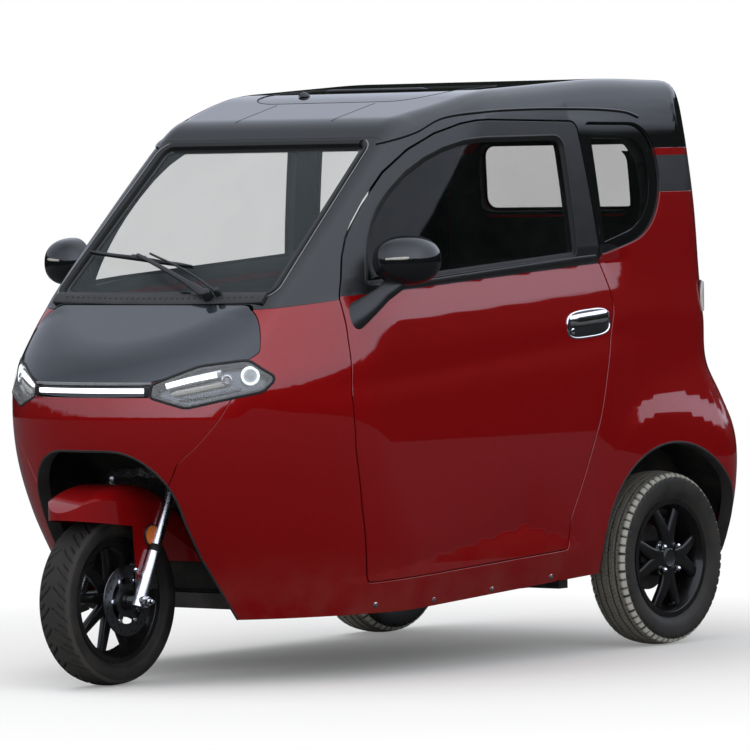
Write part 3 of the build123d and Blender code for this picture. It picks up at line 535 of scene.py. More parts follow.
# ---- forms: each a function of two parameters, worked out on whole arrays ------------
def grid_faces(rows, cols, wrap_rows=False, wrap_cols=False):
    """Quads between neighbouring points of a grid, round again where it wraps."""
    index = np.arange(rows * cols).reshape(rows, cols)
    if wrap_rows:
        index = np.concatenate((index, index[:1]))
    if wrap_cols:
        index = np.concatenate((index, index[:, :1]), axis=1)
    corners = index[:-1, :-1], index[1:, :-1], index[1:, 1:], index[:-1, 1:]
    return np.stack(corners, -1).reshape(-1, 4).tolist()


def weld(points, faces):
    """Join points that coincide, and drop the faces that close up."""
    _, first, same = np.unique(np.round(points, 3), axis=0, return_index=True, return_inverse=True)
    same = same.reshape(-1)
    kept = []
    for face in faces:
        ring = [int(same[k]) for k in face]
        ring = [a for a, b in zip(ring, ring[1:] + ring[:1]) if a != b]
        if len(ring) > 2:
            kept.append(ring)
    return points[first], kept


def joined(shapes):
    """Several shapes as one."""
    points, faces, start = [], [], 0
    for p, f in shapes:
        points.append(np.asarray(p, float))
        faces += [[k + start for k in face] for face in f]
        start += len(p)
    return np.concatenate(points), faces


def unit(v):
    """Directions of vectors, each of length 1."""
    v = np.asarray(v, float)
    return v / (np.linalg.norm(v, axis=-1, keepdims=True) + 1e-12)


def turned(profile, centre, axis=(1, 0, 0), count=64, out=1):
    """Profile (a, r) turned about an axis: centre + out*a*axis + r*(cos t * u + sin t * v)."""
    axis = unit(axis)
    u = unit(np.cross(axis, (0, 1, 0) if abs(axis[1]) < 0.9 else (1, 0, 0)))
    t = np.linspace(0, 2 * pi, count, endpoint=False)[:, None, None]
    a, r = np.array(profile, float).T
    spin = r[None, :, None] * (np.cos(t) * u + np.sin(t) * np.cross(axis, u))
    points = (np.array(centre, float) + out * a[None, :, None] * axis + spin).reshape(-1, 3)
    return weld(points, grid_faces(count, len(a), True, True))


def round_profile(half_wide, half_high=None, power=2.0, count=16):
    """Closed superellipse: (w*|cos t|^(2/n), h*|sin t|^(2/n)) with the signs of cos and sin."""
    t = np.linspace(0, 2 * pi, count, endpoint=False)
    c, s = np.cos(t), np.sin(t)
    half_high = half_wide if half_high is None else half_high
    wide, high = np.abs(c) ** (2 / power) * np.sign(c), np.abs(s) ** (2 / power) * np.sign(s)
    return np.stack((half_wide * wide, half_high * high), 1)


def smooth_path(points, count=40):
    """Catmull-Rom curve through points, `count` places along it."""
    p = np.array(points, float)
    p = np.concatenate((2 * p[:1] - p[1:2], p, 2 * p[-1:] - p[-2:-1]))
    t = np.linspace(0, len(p) - 3 - 1e-9, count)
    i = t.astype(int)
    t = (t - i)[:, None]
    a, b, c, d = p[i], p[i + 1], p[i + 2], p[i + 3]
    return 0.5 * (2 * b + (c - a) * t + (2 * a - 5 * b + 4 * c - d) * t**2
                  + (3 * b - a - 3 * c + d) * t**3)


def swept(path, profile, up=(0, 0, 1), closed=False, scale=None):
    """Bar along a path: path[i] + s*side[i] + h*lift[i] for profile points (s, h),
    where side is tangent x up and lift is side x tangent. The pair `scale`, each a number
    or an array along the path, multiplies s and h."""
    path = np.array(path, float)
    step = np.roll(path, -1, 0) - np.roll(path, 1, 0) if closed else np.gradient(path, axis=0)
    tangent = unit(step)
    side = unit(np.cross(tangent, np.broadcast_to(up, path.shape)))
    lift = np.cross(side, tangent)
    profile = np.array(profile, float)[None] * np.ones((len(path), 1, 1))
    if scale is not None:
        profile = profile * np.stack(np.broadcast_arrays(*scale), 1)[:, None]
    points = path[:, None] + profile[..., :1] * side[:, None] + profile[..., 1:] * lift[:, None]
    rows, cols = points.shape[:2]
    faces = grid_faces(rows, cols, closed, True)
    if not closed:
        faces += [list(range(cols)), list(range(rows * cols - 1, rows * cols - cols - 1, -1))]
    return points.reshape(-1, 3), faces


def rod(path, wide, high=None, power=2.0, up=(0, 0, 1), count=16, **settings):
    """Bar along a path with a superellipse section of half sizes `wide` and `high`."""
    return swept(path, round_profile(wide, high, power, count), up, **settings)


def bar(start, end, radius, count=20, bevel=1.5):
    """Round bar between two points with bevelled ends."""
    start, end = np.array(start, float), np.array(end, float)
    length = np.linalg.norm(end - start)
    profile = [(0, 0), (0, radius - bevel), (bevel, radius), (length - bevel, radius),
               (length, radius - bevel), (length, 0)]
    return turned(profile, start, end - start, count)


def rounded_block(low, high, radius, steps=3):
    """Box with round edges: each point lies `radius` from the nearest point of an inner box."""
    low, high = np.array(low, float), np.array(high, float)
    inner_low, inner_high = low + radius, high - radius
    spread = radius * np.tan(np.linspace(pi / 4, 0, steps + 1))
    rows = [np.concatenate((inner_low[k] - spread, inner_high[k] + spread[::-1])) for k in range(3)]
    points, faces = [], []
    for axis in range(3):
        a, b = [k for k in range(3) if k != axis]
        for value in (low[axis], high[axis]):
            grid = np.empty((len(rows[a]), len(rows[b]), 3))
            grid[..., axis], grid[..., a], grid[..., b] = value, rows[a][:, None], rows[b][None]
            start = sum(len(p) for p in points)
            faces += [[k + start for k in f] for f in grid_faces(len(rows[a]), len(rows[b]))]
            points.append(grid.reshape(-1, 3))
    q = np.concatenate(points)
    core = np.clip(q, inner_low, inner_high)
    return weld(core + radius * unit(q - core), faces)


def place_on(shape, centre, right, up):
    """Shape drawn as (across, up, out) put at a centre and turned to face a direction."""
    points, faces = shape
    right, up = unit(right), unit(up)
    up = unit(up - (up @ right) * right)
    frame_axes = np.stack((right, up, np.cross(right, up)))
    return np.asarray(points) @ frame_axes + np.array(centre, float), faces


def plate(loop, low, high, bevel=1.0):
    """Flat plate (across, up, out) inside a closed loop, with its edges bevelled."""
    loop = np.array(loop, float)
    middle = loop.mean(0)
    shrink = middle + (loop - middle) * (1 - bevel / np.linalg.norm(loop - middle, axis=1).mean())
    rings = [(shrink, low), (loop, low + bevel), (loop, high - bevel), (shrink, high)]
    points = np.concatenate([np.column_stack((r, np.full(len(r), z))) for r, z in rings])
    n = len(loop)
    faces = grid_faces(4, n, False, True)
    return points, faces + [list(range(n)), list(range(4 * n - 1, 3 * n - 1, -1))]


def spot_on(side, a, b, level=0.0):
    """Skin points looked at from one side: (x, z) from the front or back, (y, z) from the
    left, (x, y) from above. Halving the span finds where the depth equals level."""
    axis, outer, inner = {"front": (1, -1300, 0), "back": (1, 1300, 0), "left": (0, 760, 0),
                          "top": (2, 1720, 700)}[side]
    a, b = np.broadcast_arrays(np.asarray(a, float), np.asarray(b, float))
    p = np.zeros((a.size, 3))
    others = [k for k in range(3) if k != axis]
    p[:, others[0]], p[:, others[1]] = a.ravel(), b.ravel()
    out, within = np.full(a.size, float(outer)), np.full(a.size, float(inner))
    for _ in range(34):
        mid = (out + within) / 2
        p[:, axis] = mid
        deep = depth_inside(p) > level
        out, within = np.where(deep, out, mid), np.where(deep, mid, within)
    p[:, axis] = within
    return p


def button(profile, side, a, b, level=0.0, count=20):
    """Small turned form standing on the skin, looked at from one side."""
    spot = spot_on(side, a, b, level)
    return turned(profile, spot[0], skin_normals(spot)[0], count)


def edging(keep, profile, near=None):
    """Strip along the rim of some of the skin: rim point + out*outward + h*normal for the
    profile's points (out, h). `near` keeps the part of the rim where it is true."""
    points, tris = tidy_arrays(skin.points, skin.tris[keep])
    n, count = skin_normals(points), len(points)
    i, j = open_edges(tris, count)
    middle = np.abs(points[:, 0]) < 1e-6
    beside = ~(middle[i] & middle[j])
    i, j = i[beside], j[beside]
    outward = outward_sums(points, i, j, n)
    if near is not None:
        fits = near(points[i]) & near(points[j])
        i, j = i[fits], j[fits]
    ids = np.unique(np.concatenate((i, j)))
    e = flattened(outward[ids], n[ids])
    e[middle[ids], 0] = 0
    rows = [points[ids] + out * e + h * n[ids] for out, h in profile]
    m, local = len(ids), np.zeros(count, int)
    local[ids] = np.arange(m)
    li, lj, faces = local[i], local[j], []
    for k in range(len(profile)):
        low, top = k * m, (k + 1) % len(profile) * m
        faces += np.stack((li + low, li + top, lj + top, lj + low), 1).tolist()
    for end in np.setxor1d(i, j):
        ring = [k * m + int(local[end]) for k in range(len(profile))]
        faces.append(ring if end in j else ring[::-1])
    return np.concatenate(rows), faces


def across_middle(shape):
    """A left half and its mirror image as one shape."""
    points, faces = shape
    mirrored = [face[::-1] for face in faces]
    return joined([(points, faces), (points * (-1, 1, 1), mirrored)])


def add_shape(name, shape, material, body="car_body", replaced=(), slot=None, smooth=True,
              sharp=40.0):
    """Piece from a closed shape: faces turned outwards, edges sharper than `sharp` kept."""
    piece = add_piece(name, *shape, material, body, slot, replaced, smooth=smooth)
    form = bmesh.new()
    form.from_mesh(piece.data)
    bmesh.ops.recalc_face_normals(form, faces=form.faces)
    if smooth:
        for edge in form.edges:
            if len(edge.link_faces) == 2:
                edge.smooth = edge.calc_face_angle(0.0) < radians(sharp)
    form.to_mesh(piece.data)
    form.free()
    return piece


def add_pair(name, shape, material, body="car_body", replaced=(), slot=None):
    """Left-hand piece and its mirror image. SIDE in a body's or node's name is filled in."""
    points, faces = shape
    for side, s in SIDES:
        add_shape(f"{name}_{side}", (np.asarray(points) * (s, 1, 1), faces), material,
                  body.replace("SIDE", side), [node.replace("SIDE", side) for node in replaced],
                  slot)


# ---- materials -------------------------------------------------------------------
class Value:
    """A number that changes over a surface. Python operators add Math nodes."""

    def __init__(self, tree, socket):
        self.tree, self.socket = tree, socket

    def _math(self, operation, first, second):
        return self.tree.node("ShaderNodeMath", {"operation": operation}, {0: first, 1: second})

    def __add__(self, other):
        return self._math("ADD", self, other)

    def __sub__(self, other):
        return self._math("SUBTRACT", self, other)

    def __rsub__(self, other):
        return self._math("SUBTRACT", other, self)

    def __mul__(self, other):
        return self._math("MULTIPLY", self, other)

    def __truediv__(self, other):
        return self._math("DIVIDE", self, other)

    def most(self, other):
        return self._math("MAXIMUM", self, other)

    def clamped(self):
        return self._math("MINIMUM", self.most(0.0), 1.0)


class Tree:
    """The nodes of one material or world."""

    def __init__(self, tree):
        self.nodes, self.links = tree.nodes, tree.links

    def node(self, kind, settings=None, sockets=None, out=0):
        """Add a node: its settings first, then the values or links of its sockets."""
        node = self.nodes.new(kind)
        for key, value in (settings or {}).items():
            if key == "stops":
                stops = node.color_ramp.elements
                while len(stops) < len(value):
                    stops.new(0.5)
                for stop, (position, color) in zip(stops, value):
                    stop.position, stop.color = position, (*color, 1)
            else:
                setattr(node, key, value)
        for key, value in (sockets or {}).items():
            if isinstance(value, Value):
                self.links.new(value.socket, node.inputs[key])
            else:
                node.inputs[key].default_value = value
        return Value(self, node.outputs[out])

    def split(self, vector):
        """The three parts of a vector as numbers."""
        node = self.node("ShaderNodeSeparateXYZ", None, {0: vector}).socket.node
        return [Value(self, node.outputs[k]) for k in range(3)]


class Finish(Tree):
    """One material: its principled shader and the nodes that vary it."""

    def __init__(self, name, color, roughness, **settings):
        self.material = bpy.data.materials.new(name)
        self.material.use_nodes = True
        super().__init__(self.material.node_tree)
        self.shader = self.nodes["Principled BSDF"]
        self.color = (*color, 1.0)
        self.set("Base Color", self.color)
        self.set("Roughness", roughness)
        for key, value in settings.items():
            self.set(key.replace("_", " "), value)

    def set(self, socket, value):
        """Give one of the shader's sockets a number, a colour or a varying value."""
        target = self.shader.inputs[socket]
        if isinstance(value, Value):
            self.links.new(value.socket, target)
        else:
            target.default_value = value

    def place(self):
        """Object coordinates, in metres of the row frame."""
        return self.node("ShaderNodeTexCoord", out="Object")

    def noise(self, scale, detail=2.0, roughness=0.5):
        """Cloudy noise from 0 to 1."""
        return self.node("ShaderNodeTexNoise", None, {
            "Vector": self.place(), "Scale": scale, "Detail": detail, "Roughness": roughness})

    def blend(self, first, second, factor):
        """Colour between two colours."""
        return self.node("ShaderNodeMix", {"data_type": "RGBA"}, {
            "Factor": factor, 6: first, 7: second}, out=2)

    def tinted(self, share, factor):
        """The finish's own colour, mixed with `share` times itself."""
        return self.blend(self.color, (*[c * share for c in self.color[:3]], 1.0), factor)

    def bump(self, height, distance):
        """Tilt the surface by a height field, in metres."""
        self.set("Normal", self.node("ShaderNodeBump", None, {
            "Height": height, "Distance": distance, "Strength": 1.0}))


DUST = (0.26, 0.21, 0.16, 1.0)


def paint(name, color, flake, metallic, roughness, dust=0.35, specular=0.0):
    """Clear-coated paint: fine flakes, faint waves in the coat, and road dust low down."""
    f = Finish(name, color, roughness, Metallic=metallic, Coat_Weight=1.0, Coat_Roughness=0.012,
               Specular_IOR_Level=specular)
    sparkle = (f.noise(1400.0, 1.0) * 2.2 - 0.6).clamped()
    body = f.blend(f.color, (*flake, 1.0), sparkle)
    z = f.split(f.place())[2]
    grime = ((0.36 - z) / 0.3).clamped() * (f.noise(9.0, 6.0) * 1.8 - 0.6).clamped() * dust
    f.set("Base Color", f.blend(body, DUST, grime))
    f.set("Roughness", grime * 0.4 + roughness)
    f.bump(f.noise(38.0, 2.0), 0.0001)
    return f.material


def plastic(name, color, roughness, grain=900.0, depth=0.00008, dust=0.0, **settings):
    """Moulded plastic or painted casting: leathery grain and patchy sheen."""
    f = Finish(name, color, roughness, **settings)
    patches = f.noise(24.0, 4.0)
    lighter = tuple(min(1.0, c * 1.35 + 0.004) for c in color)
    tone = f.blend(f.color, (*lighter, 1.0), patches)
    if dust:
        grime = (f.noise(16.0, 6.0) * 2.0 - 0.75).clamped() * dust
        tone = f.blend(tone, DUST, grime)
    f.set("Base Color", tone)
    f.set("Roughness", patches * 0.16 + (roughness - 0.08))
    f.bump(f.noise(grain, 2.0), depth)
    return f.material


def metal(name, color, roughness, brushed=300.0):
    """Bare metal: streaks in its roughness, faint stains."""
    f = Finish(name, color, roughness, Metallic=1.0)
    stain = f.noise(45.0, 5.0)
    f.set("Base Color", f.tinted(0.72, (stain * 1.6 - 0.5).clamped()))
    f.set("Roughness", (f.noise(brushed, 2.0) * 0.14 + (roughness - 0.05)).most(0.02))
    return f.material


def glass(name, tint, see_through, smear=0.05):
    """Thin pane: part clear, part gloss, with faint smears."""
    f = Finish(name, tint, 0.02, Specular_IOR_Level=0.6)
    film = (f.noise(5.0, 6.0) * 1.6 - 0.6).clamped() * smear
    f.set("Base Color", f.blend(f.color, (0.55, 0.56, 0.56, 1.0), film))
    f.set("Alpha", film + (1 - see_through))
    return f.material


def rubber(name, color, tread, shoulder, dust):
    """Tyre rubber: grain, dust on the running surface held out of its grooves, and a
    scuffed shoulder. The mesh's worn and shoulder values place them."""
    f = Finish(name, color, 0.75, Specular_IOR_Level=0.3)
    speckle = f.noise(220.0, 6.0, 0.7)
    blotch = f.noise(14.0, 4.0)
    worn = f.node("ShaderNodeAttribute", {"attribute_name": "worn"}, out=2)
    edge = f.node("ShaderNodeAttribute", {"attribute_name": "shoulder"}, out=2)
    grime = (blotch * 1.5 - 0.45).clamped() * dust
    wall = f.blend(f.color, DUST, grime)
    top = f.blend(tread, (*[c * 0.45 for c in tread[:3]], 1.0), (speckle * 2.2 - 0.6).clamped())
    tone = f.blend(wall, top, (worn * (speckle * 0.8 + 0.55)).clamped())
    f.set("Base Color", f.blend(tone, shoulder, (edge * (speckle * 1.2 + 0.3)).clamped()))
    f.set("Roughness", worn * 0.2 + 0.62)
    f.bump(f.noise(700.0, 4.0), 0.0003)
    return f.material


def seat_vinyl():
    """Soft vinyl: pebbled grain over broad creases."""
    f = Finish("seat_cover", (0.02, 0.02, 0.022), 0.5, Sheen_Weight=0.15)
    creases = f.noise(14.0, 3.0)
    f.set("Base Color", f.tinted(1.8, creases))
    cells = f.node("ShaderNodeTexVoronoi", {"feature": "DISTANCE_TO_EDGE"},
                   {"Vector": f.place(), "Scale": 520.0})
    f.bump(cells * 0.6 + creases * 2.0, 0.0006)
    f.set("Roughness", creases * 0.2 + 0.4)
    return f.material


def lamp(name, color, strength):
    """Lit diffuser: glow that is a little uneven along it."""
    f = Finish(name, color, 0.25)
    f.set("Emission Color", f.tinted(0.86, f.noise(120.0)))
    f.set("Emission Strength", strength)
    return f.material


def facets(name, color, scale, coat):
    """Small prisms of a reflector."""
    f = Finish(name, color, 0.2, Coat_Weight=coat)
    cells = f.node("ShaderNodeTexVoronoi", None, {"Vector": f.place(), "Scale": scale})
    f.bump(cells, 0.0015)
    f.set("Roughness", cells * 0.3 + 0.08)
    return f.material


RED = paint("red_paint", (0.160, 0.0022, 0.003), (0.32, 0.0045, 0.006), 0.35, 0.45)
BLACK = paint("black_paint", (0.004, 0.0045, 0.005), (0.008, 0.009, 0.010), 0.0, 0.5, dust=0.2)
SLATE = paint("slate_paint", (0.012, 0.015, 0.020), (0.030, 0.036, 0.046), 0.4, 0.45, dust=0.2)
FRIT = paint("printed_band", (0.012, 0.013, 0.014), (0.018, 0.019, 0.02), 0.0, 0.4, dust=0.0)
SATIN = plastic("satin_black", (0.008, 0.0085, 0.0095), 0.36, Specular_IOR_Level=0.4)
TRIM = plastic("black_plastic", (0.012, 0.0125, 0.013), 0.5, grain=600.0, depth=0.00015,
               dust=0.06, Specular_IOR_Level=0.35)
LINER = plastic("liner_plastic", (0.006, 0.006, 0.006), 0.75, grain=300.0, depth=0.0003,
                dust=0.12, Specular_IOR_Level=0.25)
LIP = plastic("grey_strip", (0.16, 0.17, 0.18), 0.3, grain=200.0, depth=0.00004)
CABIN = plastic("cabin_plastic", (0.022, 0.022, 0.024), 0.6, grain=800.0, depth=0.0002)
LINING = plastic("roof_lining", (0.016, 0.016, 0.016), 0.9, grain=1500.0, depth=0.0002)
MAT = plastic("floor_mat", (0.014, 0.014, 0.014), 0.85, grain=500.0, depth=0.0003, dust=0.25)
SEAL = plastic("seal_rubber", (0.006, 0.006, 0.006), 0.6, grain=400.0, depth=0.0001,
               Specular_IOR_Level=0.3)
STEEL = plastic("frame_steel", (0.012, 0.012, 0.013), 0.4, grain=120.0, depth=0.0001, dust=0.25)
RIM = plastic("rim_paint", (0.003, 0.003, 0.0033), 0.3, grain=90.0, depth=0.00005, dust=0.03,
              Coat_Weight=0.2, Specular_IOR_Level=0.2)
BOWL = metal("lamp_bowl", (0.10, 0.105, 0.115), 0.22, brushed=30.0)
PLATE = plastic("blank_plate", (0.55, 0.55, 0.54), 0.4, grain=300.0, depth=0.00005, dust=0.1)
CHROME = metal("bright_metal", (0.82, 0.82, 0.83), 0.08)
ALLOY = metal("fork_metal", (0.72, 0.73, 0.74), 0.26)
DISC = metal("disc_metal", (0.13, 0.13, 0.135), 0.3)
MIRROR_SILVER = metal("mirror_silver", (0.85, 0.86, 0.87), 0.03)
DARK_GLASS = glass("dark_glass", (0.004, 0.006, 0.006), 0.80, 0.03)
SKYLIGHT = glass("black_glass", (0.004, 0.0045, 0.005), 0.1, 0.03)
SCREEN_GLASS = glass("clear_glass", (0.20, 0.24, 0.26), 0.93, 0.05)
LENS = glass("lamp_lens", (0.6, 0.62, 0.64), 0.88, 0.02)
PROJECTOR = glass("projector_lens", (0.5, 0.53, 0.56), 0.4, 0.02)
TAIL_LENS = glass("tail_lens", (0.82, 0.8, 0.79), 0.25, 0.1)
RED_LENS = glass("red_lens", (0.35, 0.006, 0.008), 0.2, 0.05)
FRONT_TYRE = rubber("front_tyre_rubber", (0.009, 0.009, 0.009), (0.036, 0.034, 0.031, 1.0),
                    (0.045, 0.042, 0.038, 1.0), 0.12)
REAR_TYRE = rubber("rear_tyre_rubber", (0.013, 0.013, 0.0125), (0.25, 0.235, 0.20, 1.0),
                   (0.52, 0.51, 0.46, 1.0), 0.12)
SEAT = seat_vinyl()
GLOW = lamp("running_light", (1.0, 1.0, 1.0), 1.6)
RING_GLOW = lamp("ring_light", (0.86, 0.93, 0.95), 0.9)
PLATE_GLOW = lamp("plate_light", (0.7, 0.7, 0.68), 0.15)
DIAL = lamp("dial_marks", (0.75, 0.8, 0.85), 0.6)
AMBER = facets("amber_reflector", (0.75, 0.17, 0.012), 260.0, 0.8)
AMBER_PALE = facets("indicator_lens", (0.42, 0.40, 0.36), 340.0, 1.0)

# ---- body panels ----------------------------------------------------------------------
SKIN_STEP, LINING_STEP = 15.5, 42.0


def cut_skin(step):
    """The skin at a grid step, split along every cut."""
    made = Skin(step)
    for name, distance in CUTS.items():
        made.cut(name, distance)
    return made


skin, plain_skin = cut_skin(SKIN_STEP), cut_skin(LINING_STEP)
M, N = skin.marks, plain_skin.marks  # N marks the coarser skin, for linings and the flat screen
door_skin = M["door"] & ~M["window"]
fixed = ~M["door_gap"]
beside_boot = ~M["boot_gap"] & ~M["quarter"]


def add_panel(name, keep, material, node, body="car_body", slot=None, wall=WALL, level=0,
              whole=False):
    """A panel of the skin: one centre piece, or a left and a right one. SIDE in a body's or
    node's name is filled in."""
    points, faces, normals = cut_panel(skin, keep, level, whole, wall, 0.3 if level else 2.0)
    for side, s in [("", 1)] if whole else SIDES:
        add_piece(f"{name}_{side}".strip("_"), points * (s, 1, 1), faces[:, ::s], material,
                  body.replace("SIDE", side), slot, [node.replace("SIDE", side)],
                  normals * (s, 1, 1))


def make_panels():
    """Every panel and pane of the body, centre pieces whole and side pieces in pairs."""
    add_panel("nose_panel_skin", M["nose"] & ~M["front_arch"] & ~M["lamp_gap"] & ~M["bar_gap"],
              RED, "nose_panel", whole=True)
    add_panel("bonnet_skin", M["bonnet"] & ~M["lamp_gap"], SLATE, "bonnet", whole=True)
    add_panel("windscreen_surround_skin",
              M["surround"] & fixed & ~M["bonnet_gap"] & ~M["screen"],
              BLACK, "windscreen_surround", wall=20.0, whole=True)
    add_panel("roof_skin", M["roof"] & fixed & beside_boot & ~M["screen"] & ~M["skylight_gap"]
              & ~M["channel"], BLACK, "roof_panel", whole=True)
    add_panel("tail_skin", M["tail"], RED, "tail_panel", whole=True)
    add_panel("boot_lid_skin", M["boot"] & ~M["rear_window"], RED, "boot_lid", "boot", whole=True)
    add_panel("rear_window_pane", M["rear_window"], DARK_GLASS, "rear_window", "boot",
              wall=GLASS, level=GLASS_INSET, whole=True)
    add_panel("rear_band_skin", M["band"] & ~M["red_line"] & beside_boot & ~M["roof_gap"],
              SATIN, "rear_band", slot="black_paint")
    add_panel("rear_red_line", M["red_line"] & beside_boot & ~M["roof_gap"], RED, "rear_band")
    add_panel("front_side_skin", M["front_side"] & fixed & ~M["front_arch"] & ~M["lamp_gap"]
              & ~M["bonnet_gap"] & ~M["nose_gap"] & ~M["cowl"], RED, "front_side_SIDE")
    add_panel("rear_quarter_skin", M["rear_quarter"] & fixed & beside_boot & ~M["rear_arch"]
              & ~M["tail_gap"], RED, "rear_quarter_SIDE")
    add_panel("door_skin", door_skin & ~M["belt"], RED, "door_SIDE", "SIDE_door", wall=DOOR_WALL)
    add_panel("door_frame", door_skin & M["belt"], SATIN, "door_SIDE", "SIDE_door",
              wall=DOOR_WALL)
    add_panel("door_pane", M["window"], DARK_GLASS, "door_glass_SIDE", "SIDE_door",
              wall=GLASS, level=GLASS_INSET)
    add_panel("quarter_border", M["quarter"] & ~M["quarter_clear"], BLACK, "quarter_glasses",
              wall=GLASS, level=GLASS_INSET - 2)
    add_panel("quarter_pane", M["quarter_clear"], DARK_GLASS, "quarter_glasses",
              wall=GLASS, level=GLASS_INSET)


make_panels()

# ---- wheels --------------------------------------------------------------------------
def tyre_form(centre, radius, width, bead, cut_depth, turns=384, around=92):
    """Tyre: a closed rounded section turned round the axle, each point sunk along its
    radius by cut_depth(angle, across). Returns points, faces and how clean each point is."""
    half, tread, height = width / 2, width * 0.40, radius - RIM_R
    crown = [(tread * k / 4, radius - 7 * (k / 4) ** 2, 0) for k in (4, 3, 2, 1, 0)]
    side = [(half * 0.985, RIM_R + height * 0.78, 14), (half, RIM_R + height * 0.58, 14),
            (half - 3, RIM_R + height * 0.34, 10), (bead + 2, RIM_R + 13, 5), (bead, RIM_R + 1, 0)]
    right = [(c[0], c[1], 8 if k == 0 else c[2]) for k, c in enumerate(crown)][::-1] + side
    left = [(-a, r, c) for a, r, c in right[::-1] if a > 0]
    loop = rounded_loop(right + left, radians(12))
    ring = np.concatenate((loop, loop[:1]))
    length = np.linalg.norm(np.diff(ring, axis=0), axis=1)
    coarse = np.where(np.maximum(ring[1:, 1], ring[:-1, 1]) > radius - 18, 1, 3)
    run = np.concatenate(([0], np.cumsum(length / coarse)))
    s = np.linspace(0, run[-1], around, endpoint=False)
    across, r = np.interp(s, run, ring[:, 0]), np.interp(s, run, ring[:, 1])
    angle = np.linspace(0, 2 * pi, turns, endpoint=False)
    grid_angle, grid_across = np.meshgrid(angle, across, indexing="ij")
    grid_r = np.broadcast_to(r, grid_across.shape)
    cut = np.where(grid_r > RIM_R + height * 0.72, cut_depth(grid_angle, grid_across), 0)
    # a moulded ring on each sidewall
    wall_ring = 0.9 * np.exp(-(((grid_r - RIM_R - height * 0.45) / 2.0) ** 2))
    rr = grid_r - cut
    x = grid_across + np.sign(grid_across) * wall_ring * (np.abs(grid_across) > bead + 3)
    points = np.stack((x, rr * np.cos(grid_angle), rr * np.sin(grid_angle)), -1).reshape(-1, 3)
    worn = np.where(grid_r > radius - 16, 1 - held(cut / 3), 0).reshape(-1)
    shoulder = held((np.abs(grid_across) - width * 0.36) / 6).reshape(-1)
    return points + np.array(centre), grid_faces(turns, len(r), True, True), worn, worn * shoulder


def groove(value, width):
    """1 inside a groove centred on each whole number of value, 0 outside, with soft edges."""
    gap = np.abs(value - np.round(value))
    return held((width - gap) / (width * 0.35))


def road_tread(angle, across):
    """Ribbed tread: four straight grooves, blocks along both shoulders, fine slits."""
    ribs = sum(held((2.6 - np.abs(across - c)) / 1.0) for c in (-36, -13, 13, 36))
    outer = held((np.abs(across) - 44) / 2)
    blocks = groove(angle * 60 / (2 * pi), 0.14) * outer
    wave = angle * 120 / (2 * pi) + 0.25 * np.sin(across / 4.0)
    slits = groove(wave, 0.10) * (np.abs(across) < 46) * 0.35
    return 5.0 * held(np.maximum(np.maximum(ribs, blocks), slits))


def arrow_tread(angle, across):
    """Scooter tread: long and short curved arrow grooves on both halves."""
    lean = angle * 26 / (2 * pi) - 0.9 * (np.abs(across) / 50) ** 0.8
    arms = groove(lean, 0.085) * (np.abs(across) > 5) * (np.abs(across) < 47)
    short = groove(lean + 0.5, 0.06) * (np.abs(across) > 22) * (np.abs(across) < 42)
    return 4.5 * np.maximum(arms, short)


def make_tyres():
    """Front tyre with arrow grooves and a pair of ribbed rear tyres."""
    front = FRONT_AXLE, FRONT_TYRE_R, FRONT_TYRE_W, 34.0, arrow_tread
    rear = REAR_TYRE_R, REAR_TYRE_W, 50.0, road_tread
    for name, form, material, body in (
        ("front_tyre", front, FRONT_TYRE, "front_wheel"),
        ("rear_tyre_left", (REAR_AXLE, *rear), REAR_TYRE, "rear_wheel_left"),
        ("rear_tyre_right", (REAR_AXLE * (-1, 1, 1), *rear), REAR_TYRE, "rear_wheel_right"),
    ):
        points, faces, worn, shoulder = tyre_form(*form)
        piece = add_shape(f"{name}_rubber", (points, faces), material, body, [name], sharp=50)
        for key, values in (("worn", worn), ("shoulder", shoulder)):
            piece.data.attributes.new(key, "FLOAT", "POINT").data.foreach_set("value", values)


def wheel_barrel(centre, bead):
    """Rim well: flanged on both sides, dropped in the middle, with a stepped outer lip."""
    b = bead
    profile = [
        (-b - 5, RIM_R + 10), (-b - 5, RIM_R - 4), (-b + 4, RIM_R - 9), (-b + 16, RIM_R - 20),
        (b - 24, RIM_R - 20), (b - 12, RIM_R - 10), (b + 2, RIM_R - 7), (b + 5, RIM_R - 4),
        (b + 5, RIM_R + 10), (b + 2, RIM_R + 10), (b, RIM_R + 2), (b - 14, RIM_R - 4),
        (b - 26, RIM_R - 15), (-b + 18, RIM_R - 15), (-b + 6, RIM_R - 4), (-b, RIM_R + 2),
        (-b - 2, RIM_R + 10),
    ]
    return turned(profile, centre, count=96)


def spoke(centre, root, tip, wide, deep):
    """One spoke: a bar from root (angle, radius, along) to tip, wide and deep at each end,
    following a shallow dish: along = root + (tip - root) * t^2."""
    t = np.linspace(0, 1, 14)
    angle = root[0] + (tip[0] - root[0]) * (3 * t**2 - 2 * t**3)
    r = root[1] + (tip[1] - root[1]) * t
    along = root[2] + (tip[2] - root[2]) * t**2
    path = np.array(centre) + np.stack((along, r * np.cos(angle), r * np.sin(angle)), 1)
    scale = wide[0] + (wide[1] - wide[0]) * t**0.7, deep[0] + (deep[1] - deep[0]) * t
    return rod(path, 1, 1, 4.0, (1, 0, 0), scale=scale)


def wheel_nuts(centre, count, ring, along, size, turn):
    """Six-sided nuts with domed ends, each on a washer, on a ring round the hub."""
    nut = [(-6, 0), (-6, size), (9, size), (12, size * 0.82), (15, size * 0.6), (18, 0)]
    washer = [(-7, 0), (-7, size + 4), (-4, size + 4), (-3, 0)]
    shapes = []
    for k in range(count):
        angle = turn + 2 * pi * k / count
        spot = np.array(centre) + (along, ring * cos(angle), ring * sin(angle))
        shapes += [turned(nut, spot, count=6), turned(washer, spot, count=24)]
    return joined(shapes)


